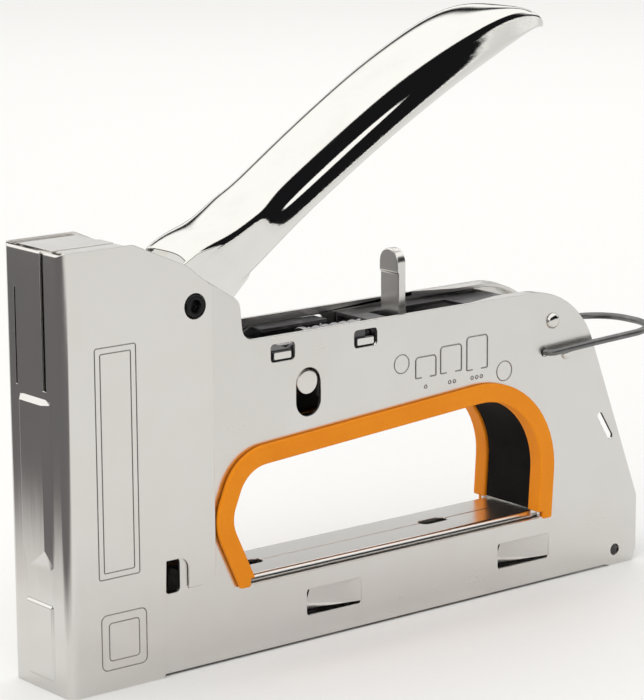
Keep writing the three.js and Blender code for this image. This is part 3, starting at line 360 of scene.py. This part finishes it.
# %% [markdown]
# The grip trim is orange moulded plastic with a fine spark-eroded texture: small even grains that spread
# the highlight. The liner behind it is black rubber, rougher and dustier.


# %% Plastic and rubber
def moulded(name, tone, shade, rough, grain_scale, grain_mm, gloss):
    material, shader, where = start_finish(name, IOR=1.46, Specular_IOR_Level=gloss)
    cloud = where.noise(55, 3.0, 0.55)
    grain = where.noise(grain_scale, 2.0, 0.5)
    colour = (cloud * 0.6 + grain * 0.4).fade(0.35, 0.65).mix(rgba(*tone), rgba(*shade))
    link_finish(shader, where, colour, grain * 0.16 + (rough - 0.08), grain, grain_mm)
    return material


orange_plastic = moulded("orange_plastic", (1.0, 0.32, 0.008), (0.94, 0.285, 0.006), 0.5, 2600, 0.03, 0.25)
black_rubber = moulded("black_rubber", (0.006, 0.006, 0.0065), (0.012, 0.0115, 0.0115), 0.75, 1800, 0.05,
                       0.12)
print("plastic and rubber")

# %% [markdown]
# ## Making pieces
# A new piece is a bmesh that becomes an object, takes a finish, rides on a CAD body and hides the CAD node
# it stands for. Sharp edges are marked by angle, and the Weighted Normal modifier keeps flat faces flat
# beside their rounded edges.

# %% Finish a piece
SHARP = math.radians(34)


def finish_piece(name, bm, body, material, stands_for=(), sharp=SHARP):
    """Turns a bmesh into a finished piece of the tool."""
    bmesh.ops.recalc_face_normals(bm, faces=bm.faces[:])
    mesh = bpy.data.meshes.new(name)
    bm.to_mesh(mesh)
    bm.free()
    mesh.materials.append(material)
    mesh.polygons.foreach_set("use_smooth", [True] * len(mesh.polygons))
    mesh.set_sharp_from_angle(angle=sharp)
    piece = bpy.data.objects.new(name, mesh)
    bpy.context.scene.collection.objects.link(piece)
    steady = piece.modifiers.new("steady_flats", "WEIGHTED_NORMAL")
    steady.keep_sharp = True
    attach(piece, body)
    if stands_for:
        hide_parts(*stands_for)
    print(name, len(mesh.polygons), "faces")
    return piece


# %% [markdown]
# ### Breaking the edges
# A CAD edge is a knife edge, and a knife edge never catches light. Most of the tool's plates, rails and
# blocks have the right shape already, so a copy of each is welded, its split flat faces are dissolved back
# into whole ones, and every sharp edge gets a narrow two-step bevel. That is what makes pressed steel read
# as pressed steel.

# %% Broken-edge copies
BODY_OF = {node: body for body, nodes in frame["record"]["behaviour"]["bodies"].items() for node in nodes}


def welded_copy(node, whole_flats):
    """The CAD node's mesh as one closed bmesh; whole_flats is False where a flat has a slot through it."""
    bm = bmesh.new()
    bm.from_mesh(frame["nodes"][node].data)
    bmesh.ops.remove_doubles(bm, verts=bm.verts[:], dist=2e-6)
    if whole_flats:
        bmesh.ops.dissolve_limit(bm, angle_limit=math.radians(0.8), verts=bm.verts[:], edges=bm.edges[:])
    return bm


def break_edges(bm, width, steps=2, angle=34):
    """Bevels each edge that is sharper than the angle, in degrees; width is in millimetres."""
    limit = math.radians(angle)
    sharp = [e for e in bm.edges if len(e.link_faces) == 2 and e.calc_face_angle(0) > limit]
    bmesh.ops.bevel(bm, geom=sharp, offset=width * MM, offset_type="OFFSET", segments=steps, profile=0.5,
                    affect="EDGES", clamp_overlap=False, material=-1)


def refined(node, material, width, steps=2, angle=34, whole_flats=True):
    bm = welded_copy(node, whole_flats)
    break_edges(bm, width, steps, angle)
    return finish_piece(node + "_finished", bm, BODY_OF[node], material, [node])


for side in ("left", "right"):
    refined(side + "_side_plate", satin_plate, 0.14)
    refined("beam_rail_" + side, satin_plate, 0.2)
    refined("nose_top_" + side, satin_plate, 0.15)

# %% [markdown]
# The same treatment suits the smaller stampings and blocks: the striker and its guide, the dark spring
# housing, the lever, the magazine's channel and core, the adjuster tab and the moulded pieces. Plastic gets
# a wider, rounder edge.

# %% Stampings and blocks
refined("nose_cover", cover_plate, 0.14)
refined("striker_guide", satin_plate, 0.15)
refined("striker_blade", spring_steel, 0.12)
refined("striker_head", spring_steel, 0.2)
refined("drive_lever", dark_steel, 0.15, whole_flats=False)
refined("spring_housing", dark_steel, 0.1, whole_flats=False)
refined("force_adjuster", satin_plate, 0.45, 3)
refined("magazine_channel", spring_steel, 0.15)
refined("magazine_core", spring_steel, 0.12)
refined("magazine_grip", dark_steel, 0.3, 3, whole_flats=False)
refined("pusher", orange_plastic, 0.25)
for side in ("left", "right"):
    refined("grip_trim_" + side, orange_plastic, 0.5, 4, 40)
refined("grip_liner", black_rubber, 0.3, 2)

# %% [markdown]
# ### Turned pieces
# Pins and rivets are turned: a half profile spun once round its axis. Spinning needs only the profile, and
# with the seam merged the result is closed. Each pin lies across the body, so its profile is (radius,
# distance from the middle plane).


# %% Turned pieces
def turned(name, profile, x, z, body, material, stands_for, steps=32):
    bm = bmesh.new()
    centre = place(x, 0, z)
    path = [bm.verts.new(centre + Vector((radius * MM, across * MM, 0))) for radius, across in profile]
    edges = [bm.edges.new(pair) for pair in zip(path, path[1:])]
    bmesh.ops.spin(bm, geom=path + edges, cent=centre, axis=(0, 1, 0), angle=math.tau, steps=steps,
                   use_merge=True)
    bmesh.ops.remove_doubles(bm, verts=bm.verts[:], dist=1e-7)
    return finish_piece(name, bm, body, material, stands_for)


def both_ends(half_profile):
    """A profile for the +Y end, outermost point first, repeated for the -Y end."""
    return half_profile + [(radius, -across) for radius, across in reversed(half_profile)]


RIVET_FACE = PLATE_HALF + 0.12
# A rivet's head, rim last: (share of the head's radius, millimetres proud of the plate).
RIVET_DOME = [(0, 1.1), (0.3, 1.08), (0.55, 0.98), (0.76, 0.76), (0.9, 0.5), (0.98, 0.22), (1, 0.06), (1, 0),
              (0.6, 0)]
# Each rivet: name, head radius, x and z.
RIVETS = [("upper", 2.3, 166.2, 76.6), ("lower", 1.8, 171.7, 66.4)]

for which, head, x, z in RIVETS:
    dome_profile = [(share * head, RIVET_FACE + rise) for share, rise in RIVET_DOME]
    turned("rivet_" + which, both_ends(dome_profile), x, z, "frame", cover_plate,
           ["rear_rivet_" + which])

# %% [markdown]
# The handle's pivot is a black bush with a hollow centre and a rolled rim. The lever's guide pin is a plain
# bright pin whose chamfered face shows in the oval slot. The other two pins are hidden inside, and are
# turned just the same.

# %% Pins
PIVOT_X, PIVOT_Z = 40.55, 96.97
bush_end = [(0, 11.7), (1.35, 11.7), (1.5, 11.85), (1.5, 13.2), (1.75, 13.6), (2.2, 13.72), (2.7, 13.6),
            (3.0, 13.2)]
turned("pivot_bush", both_ends(bush_end), PIVOT_X, PIVOT_Z, "frame", black_oxide,
       ["handle_pivot_pin"])

guide_end = [(0, 12.1), (2.7, 12.1), (3.3, 11.95), (3.6, 11.5), (3.6, 11.0)]
guide_low, guide_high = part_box("lever_guide_pin")
GUIDE_X = ((guide_low.x + guide_high.x) / 2 - NOSE_X) / MM
GUIDE_Z = (guide_low.z + guide_high.z) / 2 / MM
turned("guide_pin", both_ends(guide_end), GUIDE_X, GUIDE_Z, "drive_lever", cover_plate,
       ["lever_guide_pin"])

# Each hidden pin: name, chamfered end, x, z, and the node it stands for.
HIDDEN_END = 11.15
HIDDEN_PINS = [
    ("lever_pin", [(0, HIDDEN_END), (2.1, HIDDEN_END), (2.5, 10.75)], 57.5, 68.95, "lever_pivot_pin"),
    ("spacer_pin", [(0, HIDDEN_END), (2.1, HIDDEN_END), (2.4, 10.85)], 187, 17.4, "rear_spacer")]
for name, end, x, z, node in HIDDEN_PINS:
    turned(name, both_ends(end), x, z, "frame", spring_steel, [node], 24)

# %% [markdown]
# ### Bent wire
# The lock bail is one length of coated wire, bent over formers. A ring is set square to the path at each
# point and neighbouring rings are bridged, which keeps the wire round through every bend.


# %% Bent wire
def rounded_path(corners, steps=7, closed=False):
    """Points along straight runs joined by arcs; corners are (x, y, z, bend radius) in millimetres."""
    points = []
    count = len(corners)
    for index, (x, y, z, radius) in enumerate(corners):
        here = place(x, y, z)
        if radius == 0 or (not closed and index in (0, count - 1)):
            points.append(here)
            continue
        back = (place(*corners[index - 1][:3]) - here).normalized()
        onward = (place(*corners[(index + 1) % count][:3]) - here).normalized()
        half = back.angle(onward) / 2
        centre = here + (back + onward).normalized() * (radius * MM / math.sin(half))
        start = here + back * (radius * MM / math.tan(half)) - centre
        end = here + onward * (radius * MM / math.tan(half)) - centre
        points += [centre + start.normalized().slerp(end.normalized(), step / steps) * radius * MM
                   for step in range(steps + 1)]
    return points


def sweep_wire(bm, path, radius, sides=12, closed=False):
    """Bridges rings along a path into a closed wire."""
    rings = []
    turn = None
    for index, point in enumerate(path):
        before = path[index - 1] if closed or index else point
        after = path[(index + 1) % len(path)] if closed or index < len(path) - 1 else point
        heading = (after - before).normalized()
        if turn is None:
            turn = heading.to_track_quat("Z", "Y")
        else:
            turn = (turn @ Vector((0, 0, 1))).rotation_difference(heading) @ turn
        seat = Matrix.Translation(point) @ turn.to_matrix().to_4x4()
        ring = bmesh.ops.create_circle(bm, segments=sides, radius=radius * MM, matrix=seat)["verts"]
        rings.append(list({edge for vert in ring for edge in vert.link_edges}))
    for ring, following in list(zip(rings, rings[1:])) + ([(rings[-1], rings[0])] if closed else []):
        bmesh.ops.bridge_loops(bm, edges=ring + following)
    if not closed:
        bmesh.ops.contextual_create(bm, geom=rings[0])
        bmesh.ops.contextual_create(bm, geom=rings[-1])
    return bm


BAIL_X, BAIL_Z = 163.2, 68.0
BAIL_REACH = 46
BAIL_WIRE = 1.0
LEG_Y = PLATE_HALF + 2.4
ROUND_WIRE = math.radians(60)
# Half the route: the end inside the plate, the bend outside it, the leg, and the corner of the round end.
bail_half = [(BAIL_X, -9.25, BAIL_Z, 0), (BAIL_X, -LEG_Y, BAIL_Z, 2.2),
             (BAIL_X + 16, -LEG_Y, BAIL_Z + 0.8, 12),
             (BAIL_X + BAIL_REACH, -LEG_Y + 0.9, BAIL_Z + 1.6, 12.6)]
bail_route = bail_half + [(x, -y, z, bend) for x, y, z, bend in reversed(bail_half)]
bail = sweep_wire(bmesh.new(), rounded_path(bail_route, 12), BAIL_WIRE, 14)
finish_piece("lock_wire", bail, "lock_bail", lock_wire, ["lock_bail"], ROUND_WIRE)

# %% [markdown]
# ### Coil springs
# A coil spring is one filled circle spun round the spring's axis while it drifts along it. Spin has a drift
# of its own, so each of the three springs is a single operator, drawn at rest.


# %% Coil springs
def coil(name, start, drift, coil_radius, wire_radius, turns, axis, stands_for, steps=22, sides=8):
    bm = bmesh.new()
    aside = Vector((0, 0, 1)) if axis.x else Vector((1, 0, 0))
    across = axis.cross(aside)
    turn = across.to_track_quat("Z", "Y").to_matrix().to_4x4()
    seat = Matrix.Translation(start + aside * coil_radius * MM) @ turn
    ring = bmesh.ops.create_circle(bm, segments=sides, radius=wire_radius * MM, matrix=seat,
                                   cap_ends=True)["verts"]
    edges = list({edge for vert in ring for edge in vert.link_edges})
    faces = list({face for vert in ring for face in vert.link_faces})
    total = int(turns * steps)
    bmesh.ops.spin(bm, geom=ring + edges + faces, cent=start, axis=axis, dvec=axis * drift * MM / total,
                   angle=math.tau * turns, steps=total)
    return finish_piece(name, bm, BODY_OF[stands_for], spring_steel, [stands_for], ROUND_WIRE)


ALONG = Vector((1, 0, 0))
ACROSS = Vector((0, 1, 0))
main_low, main_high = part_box("main_spring")
push_low, push_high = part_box("pusher_spring")
MAIN_RADIUS = (main_high.z - main_low.z) / 2 / MM
MAIN_WIRE = 0.9
FEED_END = 0.45
coil("power_spring", Vector((main_low.x + MAIN_WIRE * MM, 0, (main_low.z + main_high.z) / 2)),
     (main_high.x - main_low.x) / MM - 2 * MAIN_WIRE, MAIN_RADIUS - MAIN_WIRE, MAIN_WIRE, 6, ALONG,
     "main_spring", 24, 10)
coil("feed_spring", Vector((push_low.x + FEED_END * MM, 0, (push_low.z + push_high.z) / 2)),
     (push_high.x - push_low.x) / MM - 2 * FEED_END, 1.85, 0.4, 30, ALONG,
     "pusher_spring", 14, 6)
coil("handle_spring", place(PIVOT_X, 4.4, PIVOT_Z), 3.6, 6.7, 0.6, 3, ACROSS,
     "handle_return_spring")

# %% [markdown]
# ### The handle
# The handle is a deep channel pressed from one sheet: a broad crown, a long flute in each side, and a lip
# that flares out again. It is made the way a press would show it: one cross-section is extruded from
# station to station and set to each station's size, then Solidify gives the sheet its wall and Subdivision
# Surface fairs the curves.

# %% Handle shell
# Each station: crown point (x, z), lower edge point (x, z), half width, and how deep the flute is there.
HANDLE_STATIONS = [
    ((39.8, 110.0), (46.0, 92.0), 10.1, 0), ((43.5, 112.2), (50.0, 95.0), 10.1, 0),
    ((48.0, 113.9), (55.0, 98.6), 10.1, 0), ((53.8, 115.4), (60.4, 102.3), 10.3, 0),
    ((59.6, 118.4), (65.4, 106.4), 10.9, 0), ((63.4, 120.8), (69.0, 109.4), 11.4, 0.1),
    ((67.2, 123.2), (72.6, 112.3), 11.8, 0.9), ((74.0, 127.7), (79.4, 117.3), 12.2, 1),
    ((84.5, 134.7), (90.0, 124.2), 12.6, 1), ((98.0, 143.3), (104.0, 132.8), 12.7, 0.93),
    ((112.0, 151.6), (118.5, 140.8), 12.7, 0.74), ((125.5, 158.2), (131.0, 147.4), 12.7, 0.48),
    ((137.0, 163.1), (141.5, 152.2), 12.6, 0.12),
    ((146.5, 165.8), (149.5, 155.8), 12.2, 0), ((154.5, 166.2), (156.4, 158.4), 11.2, 0),
    ((161.0, 164.9), (161.8, 159.6), 9.4, 0), ((166.2, 162.3), (166.3, 159.5), 6.8, 0),
    ((169.4, 160.3), (169.2, 158.9), 4.2, 0)]
# Half a cross-section from the lip to the crown: (share of the half width, share of the depth).
PLAIN_SIDE = [(1, 0), (1, 0.12), (1, 0.24), (1, 0.36), (1, 0.48), (1, 0.6), (1, 0.71), (0.982, 0.81),
              (0.92, 0.9), (0.78, 0.96), (0.54, 0.99), (0.27, 1)]
FLUTED_SIDE = [(1, 0), (0.997, 0.11), (0.99, 0.22), (0.958, 0.335), (0.925, 0.45), (0.875, 0.492),
               (0.835, 0.62), (0.792, 0.75), (0.742, 0.885), (0.65, 0.955), (0.44, 0.99), (0.22, 1)]


def handle_section(crown, lower, half, flute):
    """One cross-section's points, from the left lip over the crown to the right lip."""
    top, low = place(crown[0], 0, crown[1]), place(lower[0], 0, lower[1])
    side = []
    for (wide, high), (fluted_wide, fluted_high) in zip(PLAIN_SIDE, FLUTED_SIDE):
        across = (wide + (fluted_wide - wide) * flute) * half * MM
        side.append((across, low.lerp(top, high + (fluted_high - high) * flute)))
    left = [middle_point + Vector((0, -across, 0)) for across, middle_point in side]
    right = [middle_point + Vector((0, across, 0)) for across, middle_point in side]
    return left + [top] + right[::-1]


def handle_sheet():
    bm = bmesh.new()
    row = [bm.verts.new(point) for point in handle_section(*HANDLE_STATIONS[0])]
    edges = [bm.edges.new(pair) for pair in zip(row, row[1:])]
    for station in HANDLE_STATIONS[1:]:
        bmesh.ops.extrude_edge_only(bm, edges=edges)
        bm.verts.ensure_lookup_table()
        new_row = bm.verts[-len(row):]
        partner = {}
        for vert in row:
            for edge in vert.link_edges:
                other = edge.other_vert(vert)
                if other in new_row:
                    partner[vert] = other
        row = [partner[vert] for vert in row]
        for vert, point in zip(row, handle_section(*station)):
            vert.co = point
        edges = [bm.edges.get(pair) for pair in zip(row, row[1:])]
    return bm


HANDLE_WALL = 1.1
handle_shell = finish_piece("handle_shell", handle_sheet(), "handle", polished_chrome, ["handle"],
                            math.pi)
handle_shell.modifiers.remove(handle_shell.modifiers["steady_flats"])
wall = handle_shell.modifiers.new("sheet", "SOLIDIFY")
wall.thickness = HANDLE_WALL * MM
wall.offset = -1
fair = handle_shell.modifiers.new("fair", "SUBSURF")
fair.levels = fair.render_levels = 2
print("handle stations", len(HANDLE_STATIONS))

# %% [markdown]
# The handle's root is a fork: two cheeks that pinch the pivot, a tube between them, and a finger that
# reaches forward under the striker's hook. Each is an outline made into a face and extruded across the
# tool.


# %% Handle fork
def outline_block(bm, corners, low, high, steps=5):
    """An outline of (x, z, corner radius), extruded across the tool from low to high, in millimetres."""
    points = rounded_path([(x, low, z, radius) for x, z, radius in corners], steps, closed=True)
    face = bmesh.ops.contextual_create(bm, geom=[bm.verts.new(point) for point in points])["faces"][0]
    grown = bmesh.ops.extrude_face_region(bm, geom=[face])["geom"]
    moved = [item for item in grown if isinstance(item, bmesh.types.BMVert)]
    bmesh.ops.translate(bm, verts=moved, vec=Vector((0, (high - low) * MM, 0)))
    return bm


FINGER_REACH = 22.75
FINGER_DROP = math.radians(16.5)
TIP_X = PIVOT_X - FINGER_REACH * math.cos(FINGER_DROP)
TIP_Z = PIVOT_Z - FINGER_REACH * math.sin(FINGER_DROP)
CHEEK = [(33.4, 90.4, 6.4), (48, 89.8, 6), (61.2, 102.4, 2), (56, 112.2, 3), (44, 109.8, 4), (33.4, 104, 6)]
FINGER = [(TIP_X - 2, TIP_Z - 2, 1.6), (PIVOT_X - 2, PIVOT_Z - 5.6, 2), (PIVOT_X + 1, PIVOT_Z + 4.8, 2),
          (PIVOT_X - 5, PIVOT_Z + 5, 2), (TIP_X + 1, TIP_Z + 2.2, 1.6), (TIP_X - 2, TIP_Z + 1.4, 1.4)]

CHEEK_IN, CHEEK_OUT = 8.9, 10.05
FINGER_HALF = 3
HUB_BORE, HUB_RADIUS, HUB_END = 3.3, 5.5, 8.85

fork = bmesh.new()
for low, high in ((-CHEEK_OUT, -CHEEK_IN), (CHEEK_IN, CHEEK_OUT)):
    outline_block(fork, CHEEK, low, high)
outline_block(fork, FINGER, -FINGER_HALF, FINGER_HALF)
break_edges(fork, 0.2)
finish_piece("handle_fork", fork, "handle", polished_chrome)
hub_wall = both_ends([(HUB_BORE, HUB_END), (HUB_RADIUS, HUB_END)]) + [(HUB_BORE, HUB_END)]
turned("handle_hub", hub_wall, PIVOT_X, PIVOT_Z, "handle", spring_steel, [])

# %% [markdown]
# The dark housing hangs in the side plates by four bent hooks. Their faces are rubbed bright where they sit
# in the plates' slots, so each gets a small bright pad of its own.

# %% Hook faces
HOOK_SLOTS = [(65.4, 73.4), (93.6, 101.6)]
HOOK_LOW, HOOK_HIGH = 79.1, 80.9
PAD_IN, PAD_OUT = 12.2, 12.35
PAD_INSET = 1.2
hooks = bmesh.new()
for slot_front, slot_rear in HOOK_SLOTS:
    front, rear = slot_front + PAD_INSET, slot_rear - PAD_INSET
    pad = [(front, HOOK_LOW, 0.3), (rear, HOOK_LOW, 0.3), (rear, HOOK_HIGH, 0.3), (front, HOOK_HIGH, 0.3)]
    for low, high in ((-PAD_OUT, -PAD_IN), (PAD_IN, PAD_OUT)):
        outline_block(hooks, pad, low, high, 2)
finish_piece("hook_faces", hooks, "frame", cover_plate)

# %% [markdown]
# ### Rods
# The power spring's guide rod has a head that the lever pushes and a flange that the spring sits on. The
# feed spring's rod is a thin straight wire. Both lie along the tool, so their profiles spin about X.


# %% Rods
def turned_along(name, profile, z, body, material, stands_for, steps=24):
    """Profile points are (millimetres from the nose, radius), front to rear."""
    bm = bmesh.new()
    path = [bm.verts.new(place(x, radius, z)) for x, radius in profile]
    edges = [bm.edges.new(pair) for pair in zip(path, path[1:])]
    bmesh.ops.spin(bm, geom=path + edges, cent=place(0, 0, z), axis=(1, 0, 0), angle=math.tau, steps=steps,
                   use_merge=True)
    bmesh.ops.remove_doubles(bm, verts=bm.verts[:], dist=1e-7)
    return finish_piece(name, bm, body, material, stands_for)


rod_low, rod_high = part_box("spring_rod")
ROD_FRONT, ROD_REAR = ((corner.x - NOSE_X) / MM for corner in (rod_low, rod_high))
ROD_Z = 78.9
FEED_Z = 5.2
FLANGE_FRONT, FLANGE_REAR, FLANGE_RADIUS = 85, 86.6, 4.6
rod_profile = [(ROD_FRONT, 0), (ROD_FRONT, 1.7), (ROD_FRONT + 0.4, 2.1), (FLANGE_FRONT, 2.1),
               (FLANGE_FRONT, FLANGE_RADIUS - 0.2), (FLANGE_FRONT + 0.2, FLANGE_RADIUS),
               (FLANGE_REAR - 0.2, FLANGE_RADIUS), (FLANGE_REAR, FLANGE_RADIUS - 0.2), (FLANGE_REAR, 1.8),
               (ROD_REAR - 0.5, 1.8), (ROD_REAR, 1.3), (ROD_REAR, 0)]
turned_along("spring_guide_rod", rod_profile, ROD_Z, "spring_rod", spring_steel,
             ["spring_rod"])
feed_low, feed_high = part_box("pusher_rod")
FEED_FRONT, FEED_REAR = ((corner.x - NOSE_X) / MM for corner in (feed_low, feed_high))
feed_profile = [(FEED_FRONT, 0), (FEED_FRONT, 0.5), (FEED_FRONT + 0.1, 0.6), (FEED_REAR - 0.1, 0.6),
                (FEED_REAR, 0.5), (FEED_REAR, 0)]
turned_along("feed_rod", feed_profile, FEED_Z, "magazine", spring_steel, ["pusher_rod"], 12)

# %% [markdown]
# ### Staples
# A strip of staples is dozens of bent wires glued side by side. One staple is a square-cornered U with its
# crown edges broken, and copies of it stand a hair apart, so the strip shows its own fine ribs.

# %% Staple strip
strip_low, strip_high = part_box("staple_stick")
STAPLE_PITCH = 1.15 * MM
STAPLE_WIRE = 0.55 * MM
STAPLE_DEEP = STAPLE_PITCH * 0.93
STAPLE_HALF = (strip_high.y - strip_low.y) / 2
staple_count = int((strip_high.x - strip_low.x) / STAPLE_PITCH)
strip = bmesh.new()


def staple_outline(bm, x):
    """One U of wire, as a face in (y, z) extruded along the strip."""
    half, foot, top = STAPLE_HALF, strip_low.z, strip_high.z
    inside = half - STAPLE_WIRE
    corners = [(-half, foot), (-half, top), (half, top), (half, foot), (inside, foot),
               (inside, top - STAPLE_WIRE), (-inside, top - STAPLE_WIRE), (-inside, foot)]
    verts = [bm.verts.new((x, y, z)) for y, z in corners]
    face = bmesh.ops.contextual_create(bm, geom=verts)["faces"][0]
    grown = bmesh.ops.extrude_face_region(bm, geom=[face])["geom"]
    moved = [item for item in grown if isinstance(item, bmesh.types.BMVert)]
    bmesh.ops.translate(bm, verts=moved, vec=Vector((STAPLE_DEEP, 0, 0)))


for number in range(staple_count):
    staple_outline(strip, strip_low.x + number * STAPLE_PITCH)
break_edges(strip, 0.1, 1, 60)
finish_piece("staple_strip", strip, "magazine", staple_wire, ["staple_stick"])

# %% [markdown]
# ### Stamped marks
# The press coins shallow outlines into the near side: a plain panel and a double frame on the nose, and the
# three arches beside the force adjuster, with one, two and three dots for its three settings. Each is a
# fine bead that stands about a fifth of a millimetre proud, coloured dark grey as painted shade for the
# coined groove. The panels are left blank. One more dark bead of painted shade lies in the seam behind the
# nose cover's rear edge.


# %% Stamped marks
BEAD = 0.17
ARCH_BEAD = 0.22


def bead_paths(bm, paths, y, closed, radius=BEAD):
    for corners in paths:
        path = rounded_path([(x, y, z, radius) for x, z, radius in corners], 4, closed)
        sweep_wire(bm, path, radius, 6, closed)
    return bm


def frame_corners(x_low, x_high, z_low, z_high, radius):
    return [(x_low, z_low, radius), (x_high, z_low, radius), (x_high, z_high, radius),
            (x_low, z_high, radius)]


def ring_corners(x, z, radius):
    side = radius * math.tan(math.pi / 8)
    spots = [(radius, -side), (radius, side), (side, radius), (-side, radius), (-radius, side),
             (-radius, -side), (-side, -radius), (side, -radius)]
    return [(x + dx, z + dz, radius * 0.9) for dx, dz in spots]


COVER_FACE = -COVER_HALF
PLATE_FACE = -PLATE_HALF
marks = bmesh.new()
bead_paths(marks, [frame_corners(9.3, 21.8, 30, 90, 0.6), frame_corners(10.9, 20.2, 31.6, 88.4, 0.4),
                   frame_corners(9.7, 23.6, 5.8, 20.5, 1.6), frame_corners(12.0, 21.3, 8.2, 18.2, 0.9)],
           COVER_FACE, True)
bead_paths(marks, [ring_corners(110.2, 71.9, 2.6), ring_corners(147.8, 64.7, 2.8)], PLATE_FACE, True)
ARCHES = [(115.2, 122.5, 67.1, 72.9), (124.2, 131.8, 67.2, 74.7), (133.8, 141.4, 66.7, 76.1)]
ARCH_FOOT = 2.1
for left, right, low, top in ARCHES:
    bead_paths(marks, [[(left + ARCH_FOOT, low, 0), (left, low, 0.3), (left, top, 1.0), (right, top, 1.0),
                        (right, low, 0.3), (right - ARCH_FOOT, low, 0)]], PLATE_FACE, False, ARCH_BEAD)
DOT_Z, DOT_RADIUS, DOT_PITCH = 64.4, 0.45, 1.7
for count, x in ((1, 118.8), (2, 128.4), (3, 137.5)):
    for dot in range(count):
        spot = x + (dot - (count - 1) / 2) * DOT_PITCH
        bead_paths(marks, [ring_corners(spot, DOT_Z, DOT_RADIUS)], PLATE_FACE, True)
# On the plate just behind the nose cover's rear edge: a dark line of painted shade in the seam between cover
# and plate.
bead_paths(marks, [[(46.15, 101.2, 0), (46.15, 22.75, 4.1), (37.6, 22.75, 0)]], PLATE_FACE, False)
finish_piece("stamped_marks_and_painted_seam_shade", marks, "frame", painted_groove_shade)

# %% [markdown]
# ## Table
# The tool stands on a plain pale table, large enough to fill every view and every reflection.

# %% Table
def table():
    bm = bmesh.new()
    bmesh.ops.create_grid(bm, x_segments=1, y_segments=1, size=12)
    mesh = bpy.data.meshes.new("table")
    bm.to_mesh(mesh)
    bm.free()
    material, shader, where = start_finish("pale_table", Specular_IOR_Level=0.0)
    tooth = where.noise(300, 2.0, 0.5)
    tone = tooth.mix(rgba(0.93, 0.93, 0.925), rgba(0.95, 0.95, 0.945))
    link_finish(shader, where, tone, tooth * 0.1 + 0.85)
    mesh.materials.append(material)
    surface = bpy.data.objects.new("table", mesh)
    bpy.context.scene.collection.objects.link(surface)


table()
print("table")

# %% [markdown]
# Bright metal looks best between cards that only its reflections see. A grey board round the tool keeps its
# upright sides pale grey instead of white, and a black card to the left of the nose gives the nose's front
# wall something dark to mirror, so its folds and slits read.


# %% Cards
FADE_WIDTH = 0.07


def card(name, low, high, tone, back_height=0.0, fade_to=None):
    """A board on the table between two corners; it can turn up at its left end and fade at its right."""
    bm = bmesh.new()
    bmesh.ops.create_grid(bm, x_segments=1, y_segments=1, size=1.0)
    bmesh.ops.scale(bm, verts=bm.verts[:], vec=((high - low) / 2).to_3d() + Vector((0, 0, 1)))
    bmesh.ops.translate(bm, verts=bm.verts[:], vec=(low + high) / 2)
    if back_height:
        left_edge = [edge for edge in bm.edges if all(vert.co.x < low.x + 0.01 for vert in edge.verts)]
        raised = bmesh.ops.extrude_edge_only(bm, edges=left_edge)["geom"]
        risen = [item for item in raised if isinstance(item, bmesh.types.BMVert)]
        bmesh.ops.translate(bm, verts=risen, vec=(0, 0, back_height))
    mesh = bpy.data.meshes.new(name)
    bm.to_mesh(mesh)
    bm.free()
    material, shader, where = start_finish(name + "_paper", Specular_IOR_Level=0.0)
    fibres = where.noise(40, 2.0, 0.5)
    paper = fibres.mix(rgba(*(t * 0.93 for t in tone)), rgba(*(t * 1.07 for t in tone)))
    if fade_to:
        along = where.node("ShaderNodeSeparateXYZ", None, {0: where}, output="X")
        paper = along.fade(high.x - FADE_WIDTH, high.x).mix(paper, rgba(*fade_to))
    link_finish(shader, where, paper)
    mesh.materials.append(material)
    board = bpy.data.objects.new(name, mesh)
    bpy.context.scene.collection.objects.link(board)
    board.visible_camera = False
    board.visible_diffuse = False
    board.visible_shadow = False


card("grey_board", Vector((-3, -3, 0.0002)), Vector((3, 3, 0.0002)), (0.70, 0.70, 0.695))
card("black_card", Vector((-0.85, -0.5, 0.0006)), Vector((-0.15, 0.75, 0.0006)), (0.13, 0.125, 0.13), 0.35,
     (0.62, 0.61, 0.6))
print("cards")
